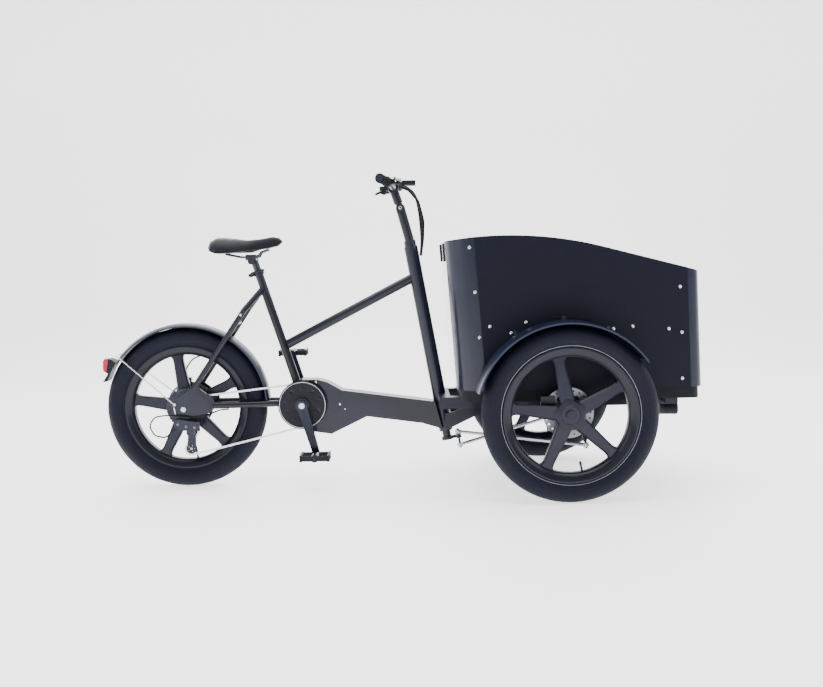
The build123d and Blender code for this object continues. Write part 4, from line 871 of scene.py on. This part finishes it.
pivot_bolts = Shape()
for side in (-1, 1):
    dome(pivot_bolts, at(746.8, side * 17.5, 937.1), side, 0.0062, 0.0026)
sharpen(pivot_bolts.make("stem_pivot_bolts", "steering", "bar_black", STEEL), 50)
cable_run.bar(soft_curve([at(719, -70, 1008), at(742, -42, 1012), at(770, -22, 1006), at(793, -6, 985),
                          at(806, 4, 940), at(812, 8, 890), at(815, 6, 830), at(812, 4, 782)]), 0.0024, 10)
cable_run.bar(soft_curve([at(719, 70, 1008), at(744, 46, 1013), at(776, 28, 1005), at(800, 14, 978),
                          at(812, 8, 930), at(817, 2, 880), at(817, -2, 830), at(812, -2, 782)]), 0.0024, 10)
cable_run.make("bar_cables", "steering", "cable_rubber", CABLE)


# ---- Derailleur details ---------------------------------------------------------------------------
CAGE_FACE_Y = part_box("derailleur_cage")[0].y
jockey_caps = Shape()
for x, z, r in ((19, 137.5, 0.0165), (22, 196, 0.0125)):
    spot = Vector((at(x, 0, z).x, CAGE_FACE_Y, z / 1000))
    jockey_caps.lathe(spot, [(0.006, 0.0004), (r - 0.002, 0.0004), (r - 0.002, -0.0008), (r, -0.0008),
                             (r + 0.0006, -0.0003), (r + 0.0006, 0.0008), (0.006, 0.0008)], 48)
sharpen(jockey_caps.make("derailleur_rings", "frame", "derailleur_black", BLACK_ALLOY))
jockey_bolts = Shape()
for x, z, r in ((19, 137.5, 0.0044), (22, 196, 0.0040)):
    dome(jockey_bolts, Vector((at(x, 0, z).x, CAGE_FACE_Y, z / 1000)), -1, r, 0.0016)
for k in range(5):
    a = math.tau * k / 5
    spot = Vector((at(19, 0, 0).x + 0.0105 * math.cos(a), CAGE_FACE_Y, 0.1375 + 0.0105 * math.sin(a)))
    dome(jockey_bolts, spot, -1, 0.0014, 0.0009)
jockey_bolts.make("derailleur_bolts", "frame", "derailleur_black", STEEL)
body_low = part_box("rear_derailleur_body")[0]
barrel = Shape()
for x, z in ((-18, 226), (10, 218), (38, 214)):
    dome(barrel, Vector((at(x, 0, z).x, body_low.y + 0.0004, z / 1000)), -1, 0.0045, 0.0022)
barrel.make("derailleur_pivots", "frame", "derailleur_black", DISC)


# ---- Stage: floor, lights, camera -------------------------------------------------------------------
def plain(name, colour, rough, glow):
    material = bpy.data.materials.new(name)
    material.use_nodes = True
    shader = material.node_tree.nodes["Principled BSDF"]
    shader.inputs["Base Color"].default_value = (*colour, 1)
    shader.inputs["Roughness"].default_value = rough
    shader.inputs["Emission Color"].default_value = (*colour, 1)
    shader.inputs["Emission Strength"].default_value = glow
    return material


floor_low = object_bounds()[0]
sweep_rows = []
BACKDROP = ((-40, 0), (-4, 0), (1.2, 0), (2.2, 0), (3.0, 0.05), (3.7, 0.35), (4.2, 1.0), (4.4, 2.2),
            (4.4, 9.0))
for distance, height in BACKDROP:
    sweep_rows.append([Vector((x, distance, height + floor_low.z)) for x in (-40, -5, 0, 5, 40)])
floor_mesh = bpy.data.meshes.new("floor")
flat = [tuple(v) for row in sweep_rows for v in row]
floor_faces = [(r * 5 + c, r * 5 + c + 1, (r + 1) * 5 + c + 1, (r + 1) * 5 + c)
               for r in range(len(sweep_rows) - 1) for c in range(4)]
floor_mesh.from_pydata(flat, [], floor_faces)
for polygon in floor_mesh.polygons:
    polygon.use_smooth = True
floor_mesh.materials.append(plain("studio_floor", (0.92, 0.925, 0.94), 0.6, 1.5))
floor = bpy.data.objects.new("floor", floor_mesh)
bpy.context.scene.collection.objects.link(floor)


def softbox(name, place, target, size_x, size_y, power):
    """A large area light."""
    data = bpy.data.lights.new(name, "AREA")
    data.shape = "RECTANGLE"
    data.size, data.size_y, data.energy = size_x, size_y, power
    light = bpy.data.objects.new(name, data)
    light.location = place
    light.rotation_euler = (Vector(target) - Vector(place)).to_track_quat("-Z", "Y").to_euler()
    bpy.context.scene.collection.objects.link(light)
    return light


softbox("overhead", (0.1, -0.3, 3.6), (0.1, 0, 0.3), 4.2, 3.0, 190)
softbox("front_fill", (-0.4, -4.6, 1.9), (0, 0, 0.45), 4.5, 2.2, 22)
softbox("left_side", (-3.4, -1.8, 1.7), (-0.2, 0, 0.4), 2.0, 2.2, 38)
softbox("right_side", (3.4, -1.6, 1.9), (0.4, 0, 0.4), 2.0, 2.2, 40)
softbox("back", (0.2, 3.2, 3.0), (0.1, 0, 0.4), 3.5, 1.8, 60)

world = bpy.data.worlds.new("studio")
world.use_nodes = True
world.node_tree.nodes["Background"].inputs["Color"].default_value = (0.93, 0.94, 0.96, 1)
world.node_tree.nodes["Background"].inputs["Strength"].default_value = 0.5
bpy.context.scene.world = world

YAW, PITCH, ROLL = -0.00315, -0.07685, -0.02244
forward = Vector((-math.sin(YAW) * math.cos(PITCH), math.cos(YAW) * math.cos(PITCH), math.sin(PITCH)))
right = Vector((math.cos(YAW), math.sin(YAW), 0))
upward = right.cross(forward)
right_rolled = right * math.cos(ROLL) + upward * math.sin(ROLL)
up_rolled = upward * math.cos(ROLL) - right * math.sin(ROLL)
turn = Matrix((right_rolled, up_rolled, -forward)).transposed().to_4x4()
camera_data = bpy.data.cameras.new("camera")
camera_data.sensor_fit = "HORIZONTAL"
camera_data.sensor_width = 36
camera_data.lens = 47.5
camera = bpy.data.objects.new("camera", camera_data)
camera.matrix_world = Matrix.Translation(at(762.848, -3719.348, 760.388)) @ turn
bpy.context.scene.collection.objects.link(camera)
bpy.context.scene.camera = camera
